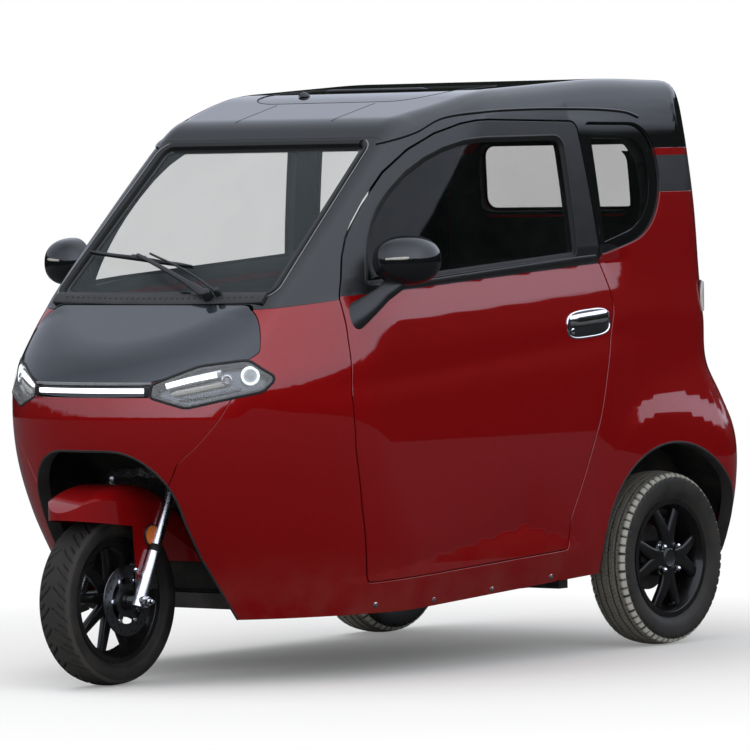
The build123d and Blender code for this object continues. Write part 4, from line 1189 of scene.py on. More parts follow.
def make_rims():
    """Rear rims with four forked arms and four bright nuts; front rim with nine arms."""
    shapes = [wheel_barrel(REAR_AXLE, 50.0)]
    for k in range(4):
        middle = radians(90 * k)
        for side in (-1, 1):
            shapes.append(spoke(REAR_AXLE, (middle + side * 0.12, 30, 40),
                                (middle + side * radians(19), RIM_R - 16, 30), (23, 15), (10, 10)))
        shapes.append(spoke(REAR_AXLE, (middle, 26, 33), (middle, 112, 27), (24, 9), (7, 4)))
    hub = [(-20, 16), (-20, 50), (26, 56), (38, 60), (44, 54), (46, 30), (44, 16)]
    casting = joined(shapes + [turned(hub, REAR_AXLE)])
    nuts = wheel_nuts(REAR_AXLE, 4, 46, 46, 8.5, radians(45))
    cap = turned([(40, 0), (40, 28), (47, 30), (52, 24), (50, 20), (51, 0)], REAR_AXLE, count=48)
    valve = bar(REAR_AXLE + (44, 0, -RIM_R + 24), REAR_AXLE + (62, 0, -RIM_R + 30), 4)
    for side, s in SIDES:
        for name, (points, faces), material, slot, node in (
            ("rear_rim_casting", casting, RIM, None, [f"rear_rim_{side}"]),
            ("rear_rim_nuts", nuts, CHROME, None, []),
            ("rear_rim_cap", cap, SATIN, "rim_paint", []),
            ("rear_rim_valve", valve, SEAL, None, []),
        ):
            add_shape(f"{name}_{side}", (points * (s, 1, 1), faces), material,
                      f"rear_wheel_{side}", node, slot)
    arms = [wheel_barrel(FRONT_AXLE, 34.0)]
    for k in range(9):
        angle = radians(40 * k + 12)
        arms.append(spoke(FRONT_AXLE, (angle, 30, 8), (angle + 0.05, RIM_R - 16, 4), (17, 11),
                          (13, 10)))
    arms.append(turned([(-62, 10), (-62, 24), (-30, 30), (-18, 38), (30, 38), (44, 30), (76, 26),
                        (76, 10)], FRONT_AXLE, count=48))
    add_shape("front_rim_casting", joined(arms), RIM, "front_wheel", ["front_rim"])
    make_brake_disc()


def make_brake_disc():
    """Front brake disc on its six-armed carrier, with rivets and a ring of dark discs painted
    as the shade of drilled holes, which are not cut.
    """
    def ring(count, radii, along, profile, sides):
        """Small turned forms set round the disc, their radii taken in turn."""
        shapes = []
        for k in range(count):
            angle, r = 2 * pi * k / count, radii[k % len(radii)]
            spot = FRONT_AXLE + (along, r * cos(angle), r * sin(angle))
            shapes.append(turned(profile, spot, count=sides))
        return joined(shapes)

    disc = turned([(66, 62), (66, 95), (67, 96), (69, 96), (70, 95), (70, 62)], FRONT_AXLE,
                  count=96)
    carrier = [turned([(64, 24), (64, 44), (69, 44), (69, 24)], FRONT_AXLE, count=48)]
    for k in range(6):
        c, s = cos(radians(60 * k)), sin(radians(60 * k))
        carrier.append(rod([FRONT_AXLE + (66.5, r * c, r * s) for r in (38, 52, 66)], 9, 2.5, 4,
                           (1, 0, 0)))
    rivets = ring(6, (60,), 69.2, [(0, 0), (0, 6), (1, 5.4), (1.4, 0)], 16)
    # Dark discs on the solid disc's face stand in for its drilled holes: painted shade, no holes
    # are cut.
    holes = ring(36, (74, 82, 89), 69.4, [(0, 0), (0, 3.4), (0.9, 3.4), (0.9, 0)], 14)
    add_shape("brake_disc", disc, DISC, "front_wheel")
    add_shape("brake_disc_carrier", joined(carrier), SATIN, "front_wheel", slot="rim_paint")
    add_shape("brake_disc_rivets", rivets, CHROME, "front_wheel")
    add_shape("brake_disc_hole_shades", holes, SEAL, "front_wheel")


make_tyres()
make_rims()

# ---- front fork and mudguard details ---------------------------------------------------
def make_fork_details():
    """Axle nuts, dust seals, bolts of the guard, brake hose, reflectors and their rings."""
    nut_parts = (([(0, 0), (0, 17), (3, 17), (3, 0)], 32),
                 ([(3, 0), (3, 13), (14, 13), (16, 11), (16, 0)], 6),
                 ([(16, 0), (16, 7), (26, 7), (28, 5), (28, 0)], 24))
    bolt = [(0, 0), (0, 8), (2, 8), (6, 6.5), (8, 3), (8.5, 0)]
    ring = [(0.2, 24), (0.2, 30), (4, 30), (6, 28), (5, 25), (3, 24)]
    lens = [(0.2, 0), (0.2, 27), (5, 27), (6.5, 22), (8, 0)]
    nuts, seals, bolts, rings, lights = [], [], [], [], []
    for s in (1, -1):
        end = FRONT_AXLE + (s * 134, 0, 0)
        nuts += [turned(profile, end, count=count, out=s) for profile, count in nut_parts]
        seals.append(turned([(-8, 14.2), (-8, 19.4), (6, 19.4), (12, 16), (12, 14.2)],
                            FRONT_AXLE + FORK_UP * 150 + (s * 112, 0, 0), FORK_UP, 32))
        bolts += [turned(bolt, FRONT_AXLE + (s * 104, back, up), count=20, out=s)
                  for back, up in ((16, 70), (-4, 84))]
        spot = FRONT_AXLE + (s * 104, 63, 172)
        rings.append(turned(ring, spot, count=48, out=s))
        lights.append(turned(lens, spot, count=48, out=s))
    hose = smooth_path([(88, -905, 322), (98, -880, 380), (104, -840, 470), (88, -800, 560),
                        (40, -780, 620)], 40)
    for name, shape, material in (
        ("front_axle_nuts", joined(nuts), CHROME), ("fork_dust_seals", joined(seals), SEAL),
        ("mudguard_bolts", joined(bolts), CHROME), ("fork_reflector_rings", joined(rings), SATIN),
        ("fork_reflectors", joined(lights), AMBER),
        ("brake_hose", rod(hose, 3.2, up=(1, 0, 0)), SEAL),
    ):
        add_shape(name, shape, material, "steering")


make_fork_details()

# ---- lamps ------------------------------------------------------------------------------
def front_run(xz, level, count=30):
    """Curve through (x, z) points seen from the front, `level` below the skin."""
    return spot_on("front", *smooth_path(xz, count).T, level)


def make_headlamps():
    """Each headlamp: clear cover, dark bowl, lit strip, ribbed indicator, projector with a
    bright ring, and a small side lens."""
    cover = cut_panel(skin, M["lamp"], 0, False, 2.5, 1.0)[:2]
    add_pair("headlamp_cover", cover, LENS, replaced=["headlamps"])
    add_pair("headlamp_bowl", cut_panel(skin, M["lamp"], 36.0, False, 3.0, 0.5)[:2], BOWL)
    gasket = edging(M["lamp"], [(1.2, -6), (1.2, -0.2), (2.2, 1.2), (5.5, 1.4), (7.5, 0.4),
                                (7.5, -4)])
    add_pair("headlamp_gasket", gasket, SEAL)
    wall = edging(M["lamp"], [(-0.5, -2.8), (-0.5, -38), (-2.5, -38), (-4.5, -2.8)])
    add_pair("headlamp_bezel", wall, SATIN)
    strip = front_run([(236, 805), (290, 820), (346, 833)], 9)
    add_pair("headlamp_running_light", rod(strip, 3, 7, 5.0), GLOW)
    tray = front_run([(232, 803), (290, 819), (352, 835)], 15)
    add_pair("headlamp_running_frame", rod(tray, 3, 11, 5.0), ALLOY)
    low = front_run([(246, 783), (300, 794), (372, 812)], 16, 40)
    ripple = 1 + 0.16 * np.sign(np.sin(np.linspace(0, 18 * pi, 40)))
    taper = np.interp(np.linspace(0, 1, 40), [0, 0.12, 0.9, 1], [0.3, 1, 0.9, 0.4])
    add_pair("headlamp_indicator", rod(low, 4, 7, 3.0, scale=(ripple * taper, taper)), AMBER_PALE)
    fin = front_run([(262, 768), (320, 776), (392, 794)], 20, 40)
    add_pair("headlamp_lower_fin", rod(fin, 6, 4, 3.0), BOWL)
    for name, x, z, size, level, finish in (("projector", 408, 829, 24, 15, RING_GLOW),
                                            ("side_lens", 366, 819, 13, 13, CHROME)):
        spot = spot_on("front", x, z, level)[0]
        out = unit(skin_normals(spot[None])[0] * 0.35 + unit((0.55, -0.83, 0.02)) * 0.65)
        ring = [(-14, size - 4), (-14, size + 1), (4, size + 1), (6, size - 1.5), (3, size - 4),
                (-8, size - 6)]
        lens = [(-14, 0), (-14, size - 6), (-6, size - 7), (0, size * 0.5), (3, 0)]
        add_pair(f"headlamp_{name}_ring", turned(ring, spot, out, 48), finish, slot="lamp_glass")
        add_pair(f"headlamp_{name}_glass", turned(lens, spot, out, 40), PROJECTOR)


def make_light_bar():
    """Lit bar between the headlamps: black trough, white diffuser, end blocks, grey lip."""
    trough = cut_panel(skin, M["bar"], 5.0, True, 20.0, 1.0)[:2]
    add_shape("light_bar_trough", trough, BLACK, replaced=["light_bar"])
    x = np.linspace(-184, 184, 49)
    add_shape("light_bar_glow", rod(spot_on("front", x, 793.0, 4), 3, 6.5, 6.0), GLOW)
    for side, s in SIDES:
        x = s * np.linspace(187, 203, 6)
        add_shape(f"light_bar_end_{side}", rod(spot_on("front", x, 791.0, 3), 4, 15, 6.0), SATIN)
    x = np.linspace(-204, 204, 41)
    add_shape("bonnet_lip", rod(spot_on("front", x, 812.0, -0.5), 2, 3.6, 3.0), LIP)


def make_tail_lamps():
    """Tail lamps: a pale lens with a red stripe, set in a black frame."""
    y, x = np.linspace(1018, 1064, 12), np.linspace(535, 478, 12)
    side, back = spot_on("left", y, 984.0), spot_on("back", x, 984.0)
    path = smooth_path(np.concatenate((side[::3], back[2::3])), 36)
    n = skin_normals(path)
    fade = np.interp(np.linspace(0, 1, 36), [0, 0.08, 0.92, 1], [0.55, 1, 1, 0.55])
    for name, half_high, proud, thick, material, nodes in (
        ("tail_lamp_frame", 47, 0, 3.0, SATIN, []),
        ("tail_lamp_lens", 43, 5, 3.5, TAIL_LENS, ["tail_lamps"]),
        ("tail_lamp_stripe", 9, 3.5, 3.0, RED_LENS, []),
    ):
        shape = rod(path + n * proud, thick, half_high, 5.0, count=28, scale=(1, fade))
        add_pair(name, shape, material, replaced=nodes)


make_headlamps()
make_light_bar()
make_tail_lamps()

# ---- windscreen, wiper and glass trim ---------------------------------------------------
def on_screen(x, up, proud):
    """Points given across, up and out from the windscreen's plane."""
    x, up, proud = np.broadcast_arrays(*[np.asarray(v, float) for v in (x, up, proud)])
    flat = SCREEN_FOOT + up[..., None] * SCREEN_UP + proud[..., None] * SCREEN_OUT
    return flat + x[..., None] * np.array((1.0, 0, 0))


def screen_pane(source, keep, proud, thick):
    """Flat pane: the windscreen's part of a skin dropped onto its plane."""
    points, tris = tidy_arrays(source.points, source.tris[keep])
    out = (points - SCREEN_FOOT) @ SCREEN_OUT
    points, tris = mirror_half(points - (out - proud)[:, None] * SCREEN_OUT, tris)
    n = len(points)
    i, j = open_edges(tris, n)
    sides = np.stack((i, i + n, j + n, j), 1).tolist()
    faces = tris.tolist() + (tris[:, ::-1] + n).tolist() + sides
    return np.concatenate((points, points - thick * SCREEN_OUT)), faces


def make_windscreen():
    """Windscreen: clear pane, dark printed band round it, rubber surround, cowl with dots,
    and a pale strip on each pillar edge as a painted highlight.
    """
    add_shape("windscreen_pane", screen_pane(plain_skin, N["screen"], -9.0, 5.0), SCREEN_GLASS,
              replaced=["windscreen_glass"], smooth=False)
    add_shape("windscreen_band", screen_pane(skin, M["screen"] & ~M["screen_clear"], -8.6, 5.6),
              FRIT, smooth=False)
    seal = across_middle(edging(M["screen"], [(-9, -8), (-7, -1), (-1, 2.5), (4, 2), (4, -3),
                                              (-1, -9)]))
    add_shape("windscreen_rubber", seal, SEAL)
    head = edging(M["screen"], [(-15, -9), (-12, 3), (-2, 7), (6, 5), (6, -2), (-2, -9)],
                  near=lambda p: ((p - SCREEN_FOOT) @ SCREEN_UP > 600) & (np.abs(p[:, 0]) < 345))
    add_shape("windscreen_top_strip", across_middle(head), SEAL)
    # Pale grey strip along the windscreen's side edges: a painted highlight of the light caught by
    # the crease at the pillar.
    line = edging(M["screen"], [(9, -2), (9, 1.3), (11.5, 1.5), (11.5, -2)],
                  near=lambda p: p[:, 0] > 345)
    add_pair("windscreen_edge_highlight", line, LIP)
    x = np.linspace(-372, 372, 41)
    cowl = rod(on_screen(x, 4 + 6e-5 * x**2, 1.0), 20, 6, 4.0, SCREEN_OUT)
    add_shape("cowl_grille", cowl, TRIM)
    dots = [turned([(0, 0), (0, 4.5), (1.6, 3.6), (2.2, 0)], on_screen(v, 6 + 6e-5 * v**2, 6.6),
                   SCREEN_OUT, 14) for v in np.linspace(-330, 330, 34)]
    add_shape("cowl_dots", joined(dots), SATIN)


def make_wiper():
    """Wiper: capped pivot, flat tapering arm, thin second arm on its post, winged bracket,
    blade and rubber."""
    pivot, tip = on_screen(180, 8, 14), on_screen(-165, 164, 20)
    t = np.linspace(0, 1, 24)
    bow = np.array(pivot) + (np.array(tip) - pivot) * t[:, None]
    bow = bow + SCREEN_OUT * (9 * np.sin(pi * t) ** 0.8)[:, None]
    width = np.interp(t, [0, 0.12, 0.3, 1], [11, 12, 7, 5])
    arm = rod(bow, 1, 1, 4.0, SCREEN_OUT, scale=(width, np.interp(t, [0, 0.3, 1], [6, 4.5, 3])))
    cap = turned([(-6, 0), (-6, 15), (12, 15), (18, 12), (20, 0)], pivot, SCREEN_OUT, 32)
    second = rod(smooth_path([on_screen(206, 22, 14), on_screen(60, 92, 26),
                              on_screen(-120, 168, 20)], 24), 3.2, up=SCREEN_OUT)
    post = turned([(-6, 0), (-6, 10), (10, 10), (14, 7), (15, 0)], on_screen(206, 22, 12),
                  SCREEN_OUT, 24)
    ends = on_screen(-362, 190, 5), on_screen(45, 131, 5)
    run = np.array(ends[0]) + (np.array(ends[1]) - ends[0]) * t[:, None]
    spine = rod(run + SCREEN_OUT * 3, 5, 3, 3, SCREEN_OUT,
                scale=(np.interp(t, [0, 0.1, 0.9, 1], [0.4, 1, 1, 0.4]), 1))
    edge = rod(run - SCREEN_OUT * 3, 1.6, 5, 2, SCREEN_OUT)
    middle = on_screen(-165, 162, 11)
    across = unit(np.array(ends[1]) - ends[0])
    bracket = rod([middle - across * 26, middle, middle + across * 26], 8, 5, 3, SCREEN_OUT)
    wings = [rod([middle + across * (s * 20), middle + across * (s * 100) - SCREEN_OUT * 3], 4, 3,
                 3, SCREEN_OUT) for s in (-1, 1)]
    add_shape("wiper_arms", joined([arm, cap, second, post]), SATIN, replaced=["wiper"])
    add_shape("wiper_blade", joined([spine, bracket, *wings]), SATIN)
    add_shape("wiper_rubber", edge, SEAL)


def make_side_trim():
    """Seals, lips and reveals of the glass, belt strip, gutter, arch lips, sill screws."""
    seal = [(-13, -8.5), (-10, -5), (1, -1), (3, -2.5), (3, -8), (-2, -10)]
    add_pair("door_glass_seal", edging(M["window"], seal), SEAL, "SIDE_door")
    lip = [(-1, -1), (-1, 1.2), (1.5, 1.4), (3.5, 0), (3.5, -2)]
    add_pair("door_glass_lip", edging(M["window"], lip), TRIM, "SIDE_door")
    seal = [(-4, -8.5), (-1, -2), (1, -0.5), (1.5, -3), (0, -9)]
    add_pair("quarter_glass_seal", edging(M["quarter"], seal), SEAL)
    reveal = [(-2.5, -15), (-2.5, -38), (7, -38), (7, -35.5), (0.4, -35), (0.4, -15)]
    add_pair("quarter_glass_reveal", edging(M["quarter"], reveal), LINER)
    add_shape("rear_window_reveal", across_middle(edging(M["rear_window"], reveal)), LINER, "boot")
    y = np.linspace(-448, 540, 60)
    z = np.interp(y, [-460, -354, -180, 460, 545], [1052, 1056, 1064, 1106, 1110])
    add_pair("door_belt_strip", rod(spot_on("left", y, z, -1.5), 6.5, 3.2, 3.0, (1, 0, 0)), SATIN,
             "SIDE_door")
    y = np.array([-262, -157, -49, 112, 300, 460, 623, 740, 800])
    z = np.array([1437, 1466, 1506, 1521, 1526, 1526, 1523, 1515, 1500])
    track = smooth_path(np.column_stack((y, z)), 70)
    add_pair("roof_gutter", rod(spot_on("left", *track.T, -1.0), 4.5, 3.0, 2.5, (1, 0, 0)), BLACK)
    lip = [(-3, 0.2), (-2, 1.2), (2.5, 1.0), (4, -1), (4, -33), (2.2, -33), (2.2, -2)]
    front = across_middle(edging((M["nose"] | M["front_side"]) & ~M["front_arch"], lip,
                                 near=lambda p: np.abs(CUTS["front_arch"](p)) < 1.5))
    add_shape("front_arch_lip", front, TRIM)
    add_pair("rear_arch_lip", edging(M["rear_quarter"] & ~M["rear_arch"], lip,
                                     near=lambda p: np.abs(rear_arch(p)) < 1.5), TRIM)
    heads = [button([(-2, 0), (-2, 8), (1.5, 8), (3.5, 5), (4, 0)], "left", y, z)
             for y, z in ((-432, 196), (-212, 196), (40, 208), (300, 226))]
    add_pair("sill_screws", joined(heads), CHROME)


make_windscreen()
make_wiper()
make_side_trim()

# ---- door furniture ---------------------------------------------------------------------
def make_mirrors():
    """Door mirror: round-nosed gloss shell, lamp strip, bezel and glass, curved foot."""
    centre, half, nose = np.array((630.0, -380.0, 1130.0)), (94.0, 66.0), 72.0
    u = np.linspace(0, 1, 15)
    wide = (1 - u**2.6) ** 0.45
    ring = round_profile(1, power=2 / 0.86, count=64)
    grid = np.empty((15, 64, 3))
    grid[..., 0] = half[0] * ring[None, :, 0] * wide[:, None]
    grid[..., 1] = -nose * u[:, None]
    grid[..., 2] = half[1] * ring[None, :, 1] * wide[:, None] - 5 * u[:, None]
    shell = weld(grid.reshape(-1, 3) + centre, grid_faces(15, 64, False, True))
    back = plate(ring * half, -2, 2)
    rim_path = np.column_stack((ring[:, 0] * 89, np.ones(64), ring[:, 1] * 61)) + centre
    bezel = rod(rim_path, 5, 3.5, 2.5, (0, 1, 0), closed=True)
    place = (1, 0, 0), (0, 0, 1)
    backing = place_on(back, centre + (0, -1, 0), *place)
    glass_face = place_on(plate(ring * (85, 57), -1, 1, 0.8), centre + (0, 0.7, 0), *place)
    flash = smooth_path([(-40, -64, 4), (10, -68, 6), (52, -55, 8), (80, -32, 9)], 24) + centre
    foot_path = smooth_path([(494, -522, 962), (530, -498, 992), (560, -456, 1030),
                             (584, -412, 1070)], 40)
    t = np.linspace(0, 1, 40)
    sizes = (np.interp(t, [0, 0.3, 0.7, 1], [44, 36, 24, 30]),
             np.interp(t, [0, 0.3, 1], [26, 20, 17]))
    foot = rod(foot_path, 1, 1, 2.3, (0.2, -1, 0.2), 28, scale=sizes)
    swing = radians(20)
    spin = np.array(((cos(swing), sin(swing), 0), (-sin(swing), cos(swing), 0), (0, 0, 1)))
    hub = np.array((600.0, -390.0, 1124.0))

    def swung(shape):
        """Shape turned about the upright axis, so that its outer end lies further back."""
        return (np.asarray(shape[0]) - centre) @ spin + hub, shape[1]

    shell, backing, bezel, glass_face = map(swung, (shell, backing, bezel, glass_face))
    flash_bar = swung(rod(flash, 4, 3.5, 3, (0, -1, 0)))
    for name, shape, material, nodes in (
        ("shell", joined([shell, backing]), BLACK, ["door_mirror_SIDE"]),
        ("bezel", bezel, TRIM, []), ("glass", glass_face, MIRROR_SILVER, []),
        ("lamp", flash_bar, AMBER_PALE, []), ("foot", foot, SATIN, []),
    ):
        add_pair(f"mirror_{name}", shape, material, "SIDE_door", nodes)


def make_handles():
    """Door handle: dark oval let into the skin, its darkness painted shade of the handle's
    recess, bright grip bowed over it, key cap.
    """
    y = np.linspace(374, 569, 40)
    middle, half, height, slope = 471.5, 97.5, 925, 0.06
    swell = np.clip(1 - np.abs((y - middle) / half) ** 5.0, 0.02, 1) ** 0.5
    path = spot_on("left", y, height + slope * (y - middle), 1.0)
    n = skin_normals(path)
    # The dark oval is a flat pad: its darkness is painted shade of the recess under the grip, no
    # hollow is cut.
    cup = rod(path, 1, 1, 3.0, n, 24, scale=(swell * 37, swell * 5))
    k = np.linspace(0, 2 * pi, 96, endpoint=False)
    along = half * np.sign(np.cos(k)) * np.abs(np.cos(k)) ** 0.55
    high = 37 * np.sign(np.sin(k)) * np.abs(np.sin(k)) ** 0.6
    rim_path = spot_on("left", middle + along, height + slope * along + high, -1.0)
    rim_bar = rod(rim_path, 3.4, 3.0, up=skin_normals(rim_path), closed=True)
    y = np.linspace(386, 560, 36)
    t = np.linspace(-1, 1, 36)
    path = spot_on("left", y, 940 + 6 * t, 0)
    path = path + skin_normals(path) * (11 - 14 * held(np.abs(t) - 0.8) / 0.2)[:, None]
    grip = rod(path, 1, 1, 2.6, skin_normals(path), 20,
               scale=(17 * (1 - 0.25 * np.abs(t) ** 6), 6 * (1 - 0.3 * np.abs(t) ** 6)))
    lock = button([(0, 0), (0, 9), (3, 9), (4, 6), (4, 0)], "left", 396, 905, -1, 28)
    add_pair("handle_recess_shade", cup, SATIN, "SIDE_door", ["door_handle_SIDE"])
    for name, shape in (("rim", rim_bar), ("grip", grip), ("lock", lock)):
        add_pair(f"handle_{name}", shape, CHROME, "SIDE_door")


def make_door_cards():
    """Inner face of each door: grained panel, arm rest, pull, pocket and loudspeaker."""
    card = cut_panel(plain_skin, N["door"] & ~N["belt"], 35.5, False, 3.0, 1.0)[:2]
    add_pair("door_card", card, CABIN, "SIDE_door")
    y = np.linspace(-330, 330, 30)
    rest = spot_on("left", y, 800 + 0.05 * y, 52)
    taper = np.interp(np.linspace(0, 1, 30), [0, 0.1, 0.9, 1], [0.4, 1, 1, 0.5])
    add_pair("door_arm_rest", rod(rest, 24, 20, 3.2, scale=(taper, taper)), SEAT, "SIDE_door")
    y = np.linspace(-400, 260, 30)
    pocket = spot_on("left", y, 440.0, 52)
    add_pair("door_pocket", rod(pocket, 16, 56, 4, scale=(taper, taper)), CABIN, "SIDE_door")
    pull = smooth_path(spot_on("left", [-150, -120, 20, 50], [852, 866, 872, 860], 50), 24)
    add_pair("door_pull", rod(pull, 6, up=(1, 0, 0)), SATIN, "SIDE_door")
    spot = spot_on("left", -330, 620, 40)[0]
    inward = -skin_normals(spot[None])[0]
    rings = [turned([(0, r), (4, r), (5, r - 2), (4, r - 4), (0, r - 4)], spot, inward, 40)
             for r in (62, 50, 38, 26, 14)]
    add_pair("door_speaker", joined(rings), SATIN, "SIDE_door")


make_mirrors()
make_handles()
make_door_cards()

# ---- roof and tail details ------------------------------------------------------------------
def make_roof_details():
    """Channels, skylight with its seal, sensor dome and black lip bar."""
    for name, keep, material, wall, level in (
        ("roof_skylight", M["skylight"], SKYLIGHT, 5.0, 1.5),
        ("roof_channels", M["channel"], SEAL, 3.0, 5.0),
    ):
        add_shape(name, cut_panel(skin, keep, level, True, wall, 0.8)[:2], material)
    seal = across_middle(edging(M["skylight"],
                                [(-0.5, -6), (-0.5, -0.5), (1, 0.8), (3.2, 0.4), (3.2, -6)]))
    add_shape("roof_skylight_seal", seal, SEAL)
    base = spot_on("top", -172, 120)[0]
    dome = turned([(-1, 0), (-1, 17), (3, 16), (8, 11), (11, 5), (12, 0)], base, (0, 0, 1), 32)
    add_shape("roof_sensor", dome, SATIN)
    x = np.linspace(-185, 185, 50)
    fade = np.interp(np.linspace(0, 1, 50), [0, 0.06, 0.94, 1], [0.3, 1, 1, 0.3])
    lip = rod(spot_on("top", x, 230 + 4e-5 * x**2, -2.0), 9, 5, 2.6, scale=(fade, fade))
    add_shape("roof_lip", lip, SATIN)


def make_tail_details():
    """Boot handle, plate recess without lettering, plate lamps, rear reflectors, lower trim,
    brow lamp and the rear window's seal."""
    edge = rounded_box((-262, 700), (262, 820), 14)
    surround = rod(spot_on("back", *edge.T, -1.5), 5, 4, 3, (0, 1, 0), closed=True)
    add_shape("plate_surround", surround, TRIM, "boot")
    gx, gz = np.meshgrid(np.linspace(-254, 254, 24), np.linspace(707, 813, 8), indexing="ij")
    grid = np.concatenate([spot_on("back", gx, gz, level) for level in (-1.0, 2.0)])
    add_shape("plate_blank", weld(grid, closed_sheet(24, 8)), PLATE, "boot")
    x = np.linspace(-190, 190, 30)
    bow = spot_on("back", x, 842 + 6 * np.cos(x / 60), -9)
    add_shape("boot_handle", rod(bow, 13, 9, 3), BLACK, "boot")
    lights = [rod(spot_on("back", x + np.linspace(-22, 22, 8), 832, -1), 4, 5, 3)
              for x in (-80, 80)]
    add_shape("plate_lamps", joined(lights), PLATE_GLOW, "boot")
    reflector = rod(spot_on("back", np.linspace(250, 380, 20), 400.0, -1.5), 3, 15, 4)
    add_pair("tail_reflector", reflector, RED_LENS)
    trim = rod(spot_on("back", np.linspace(-410, 410, 50), 292.0, -0.5), 4, 26, 4)
    add_shape("tail_lower_trim", trim, TRIM)
    brow = rod(spot_on("back", np.linspace(-120, 120, 30), 1508.0, -1), 3, 8, 4)
    add_shape("brow_lamp", brow, RED_LENS)
    seal = across_middle(edging(M["rear_window"],
                                [(-12, -8.5), (-9, -4), (1, -0.5), (3, -2), (3, -8)]))
    add_shape("rear_window_seal", seal, SEAL, "boot")


def closed_sheet(rows, cols):
    """Faces of two stacked grids joined round their rims."""
    n = rows * cols
    top = grid_faces(rows, cols)
    index = np.arange(n).reshape(rows, cols)
    rim = np.concatenate((index[0], index[1:, -1], index[-1, -2::-1], index[-2:0:-1, 0])).tolist()
    sides = [[a, b, b + n, a + n] for a, b in zip(rim, rim[1:] + rim[:1])]
    return top + [[k + n for k in f[::-1]] for f in top] + sides


make_roof_details()
make_tail_details()

# ---- inside -------------------------------------------------------------------------------
def cushion(low, high, crown, channels, pull=0.06, power=5.0, count=37):
    """Stuffed pad on a superellipsoid: box points q in -1..1 are scaled by
    (|x|^n+|y|^n+|z|^n)^(-1/n), the top and front swell by crown*(1-x^2)(1-y^2), the sides
    draw in between the corners, and sewn channels press in across x."""
    low, high = np.array(low, float), np.array(high, float)
    half, centre = (high - low) / 2, (high + low) / 2
    t = np.linspace(-1, 1, count)
    points, faces = [], []
    for axis in range(3):
        a, b = [k for k in range(3) if k != axis]
        for value in (-1, 1):
            grid = np.empty((count, count, 3))
            grid[..., axis], grid[..., a], grid[..., b] = value, t[:, None], t[None]
            start = len(points) * count * count
            faces += [[k + start for k in f] for f in grid_faces(count, count)]
            points.append(grid.reshape(-1, 3))
    q = np.concatenate(points)
    q, faces = weld(q * 100, faces)
    q = q / 100
    q = q / (np.abs(q) ** power).sum(1, keepdims=True) ** (1 / power)
    swell = held(1 - q[:, 0] ** 2) * held(1 - q[:, 1] ** 2)
    x = q[:, 0] * (1 - pull * (1 - q[:, 1] ** 2))
    y = q[:, 1] * (1 - pull * (1 - q[:, 0] ** 2))
    press = sum(np.exp(-(((q[:, 0] - c) / 0.035) ** 2)) for c in channels)
    edge = sum(np.exp(-(((np.abs(q[:, k]) - c) / 0.03) ** 2)) for k, c in ((0, 0.8), (1, 0.82)))
    top = held(q[:, 2] * 2)
    z = q[:, 2] + top * (crown * swell - 7.0 * held(press * (np.abs(q[:, 1]) < 0.78))
                         - 3.5 * held(edge)) / half[2]
    return np.stack((x, y, z), 1) * half + centre, faces


def lean(shape, y, z, degrees):
    """Shape leaned back about a cross axis through (y, z)."""
    points, faces = shape
    a = radians(degrees)
    p = np.asarray(points) - (0, y, z)
    turned_y = p[:, 1] * cos(a) + p[:, 2] * sin(a)
    turned_z = -p[:, 1] * sin(a) + p[:, 2] * cos(a)
    return np.stack((p[:, 0], turned_y + y, turned_z + z), 1), faces


def upright(shape, y, z):
    """Pad drawn lying down, stood up so that its top faces forward (-Y)."""
    points, faces = shape
    p = np.asarray(points)
    return np.stack((p[:, 0], y - p[:, 2], z + p[:, 1]), 1), faces


def make_seats():
    """Driver's seat and rear bench: crowned pads with sewn channels, piping and shells."""
    pads = (
        ("driver_seat_base", cushion((-222, -58, 500), (222, 400, 592), 14, (-0.36, 0, 0.36)),
         ["driver_seat"]),
        ("driver_seat_back", lean(upright(cushion((-215, -240, -45), (215, 240, 45), 12,
         (-0.36, 0, 0.36)), 398, 820), 380, 590, 10), []),
        ("rear_seat_base", cushion((-392, 625, 410), (392, 940, 592), 12, (-0.5, 0, 0.5)),
         ["rear_seat"]),
        ("rear_seat_back", lean(upright(cushion((-388, -205, -40), (388, 205, 40), 10,
         (-0.5, 0, 0.5)), 938, 808), 900, 600, 6), []),
    )
    for name, shape, nodes in pads:
        piece = add_shape(name, shape, SEAT, replaced=nodes, sharp=180)
    piping = []
    for half, near, far in ((215, -50, 392), (384, 632, 932)):
        loop = rounded_box((-half, near), (half, far), 60)
        piping.append(rod(np.column_stack((loop, np.full(len(loop), 566.0))), 3, closed=True))
    add_shape("seat_piping", joined(piping), SEAL, slot="seat_cover")
    rail = [rod([(s * 150, -30, 494), (s * 150, 400, 494)], 14, 6, 4) for s in (-1, 1)]
    hinge = [bar((s * 218, 392, 560), (s * 232, 392, 560), 24) for s in (-1, 1)]
    add_shape("driver_seat_rails", joined(rail + hinge), STEEL)
    shell = upright(rounded_block((-205, -232, -48), (205, 236, -38), 4), 398, 820)
    add_shape("driver_seat_shell", lean(shell, 380, 590, 10), CABIN)


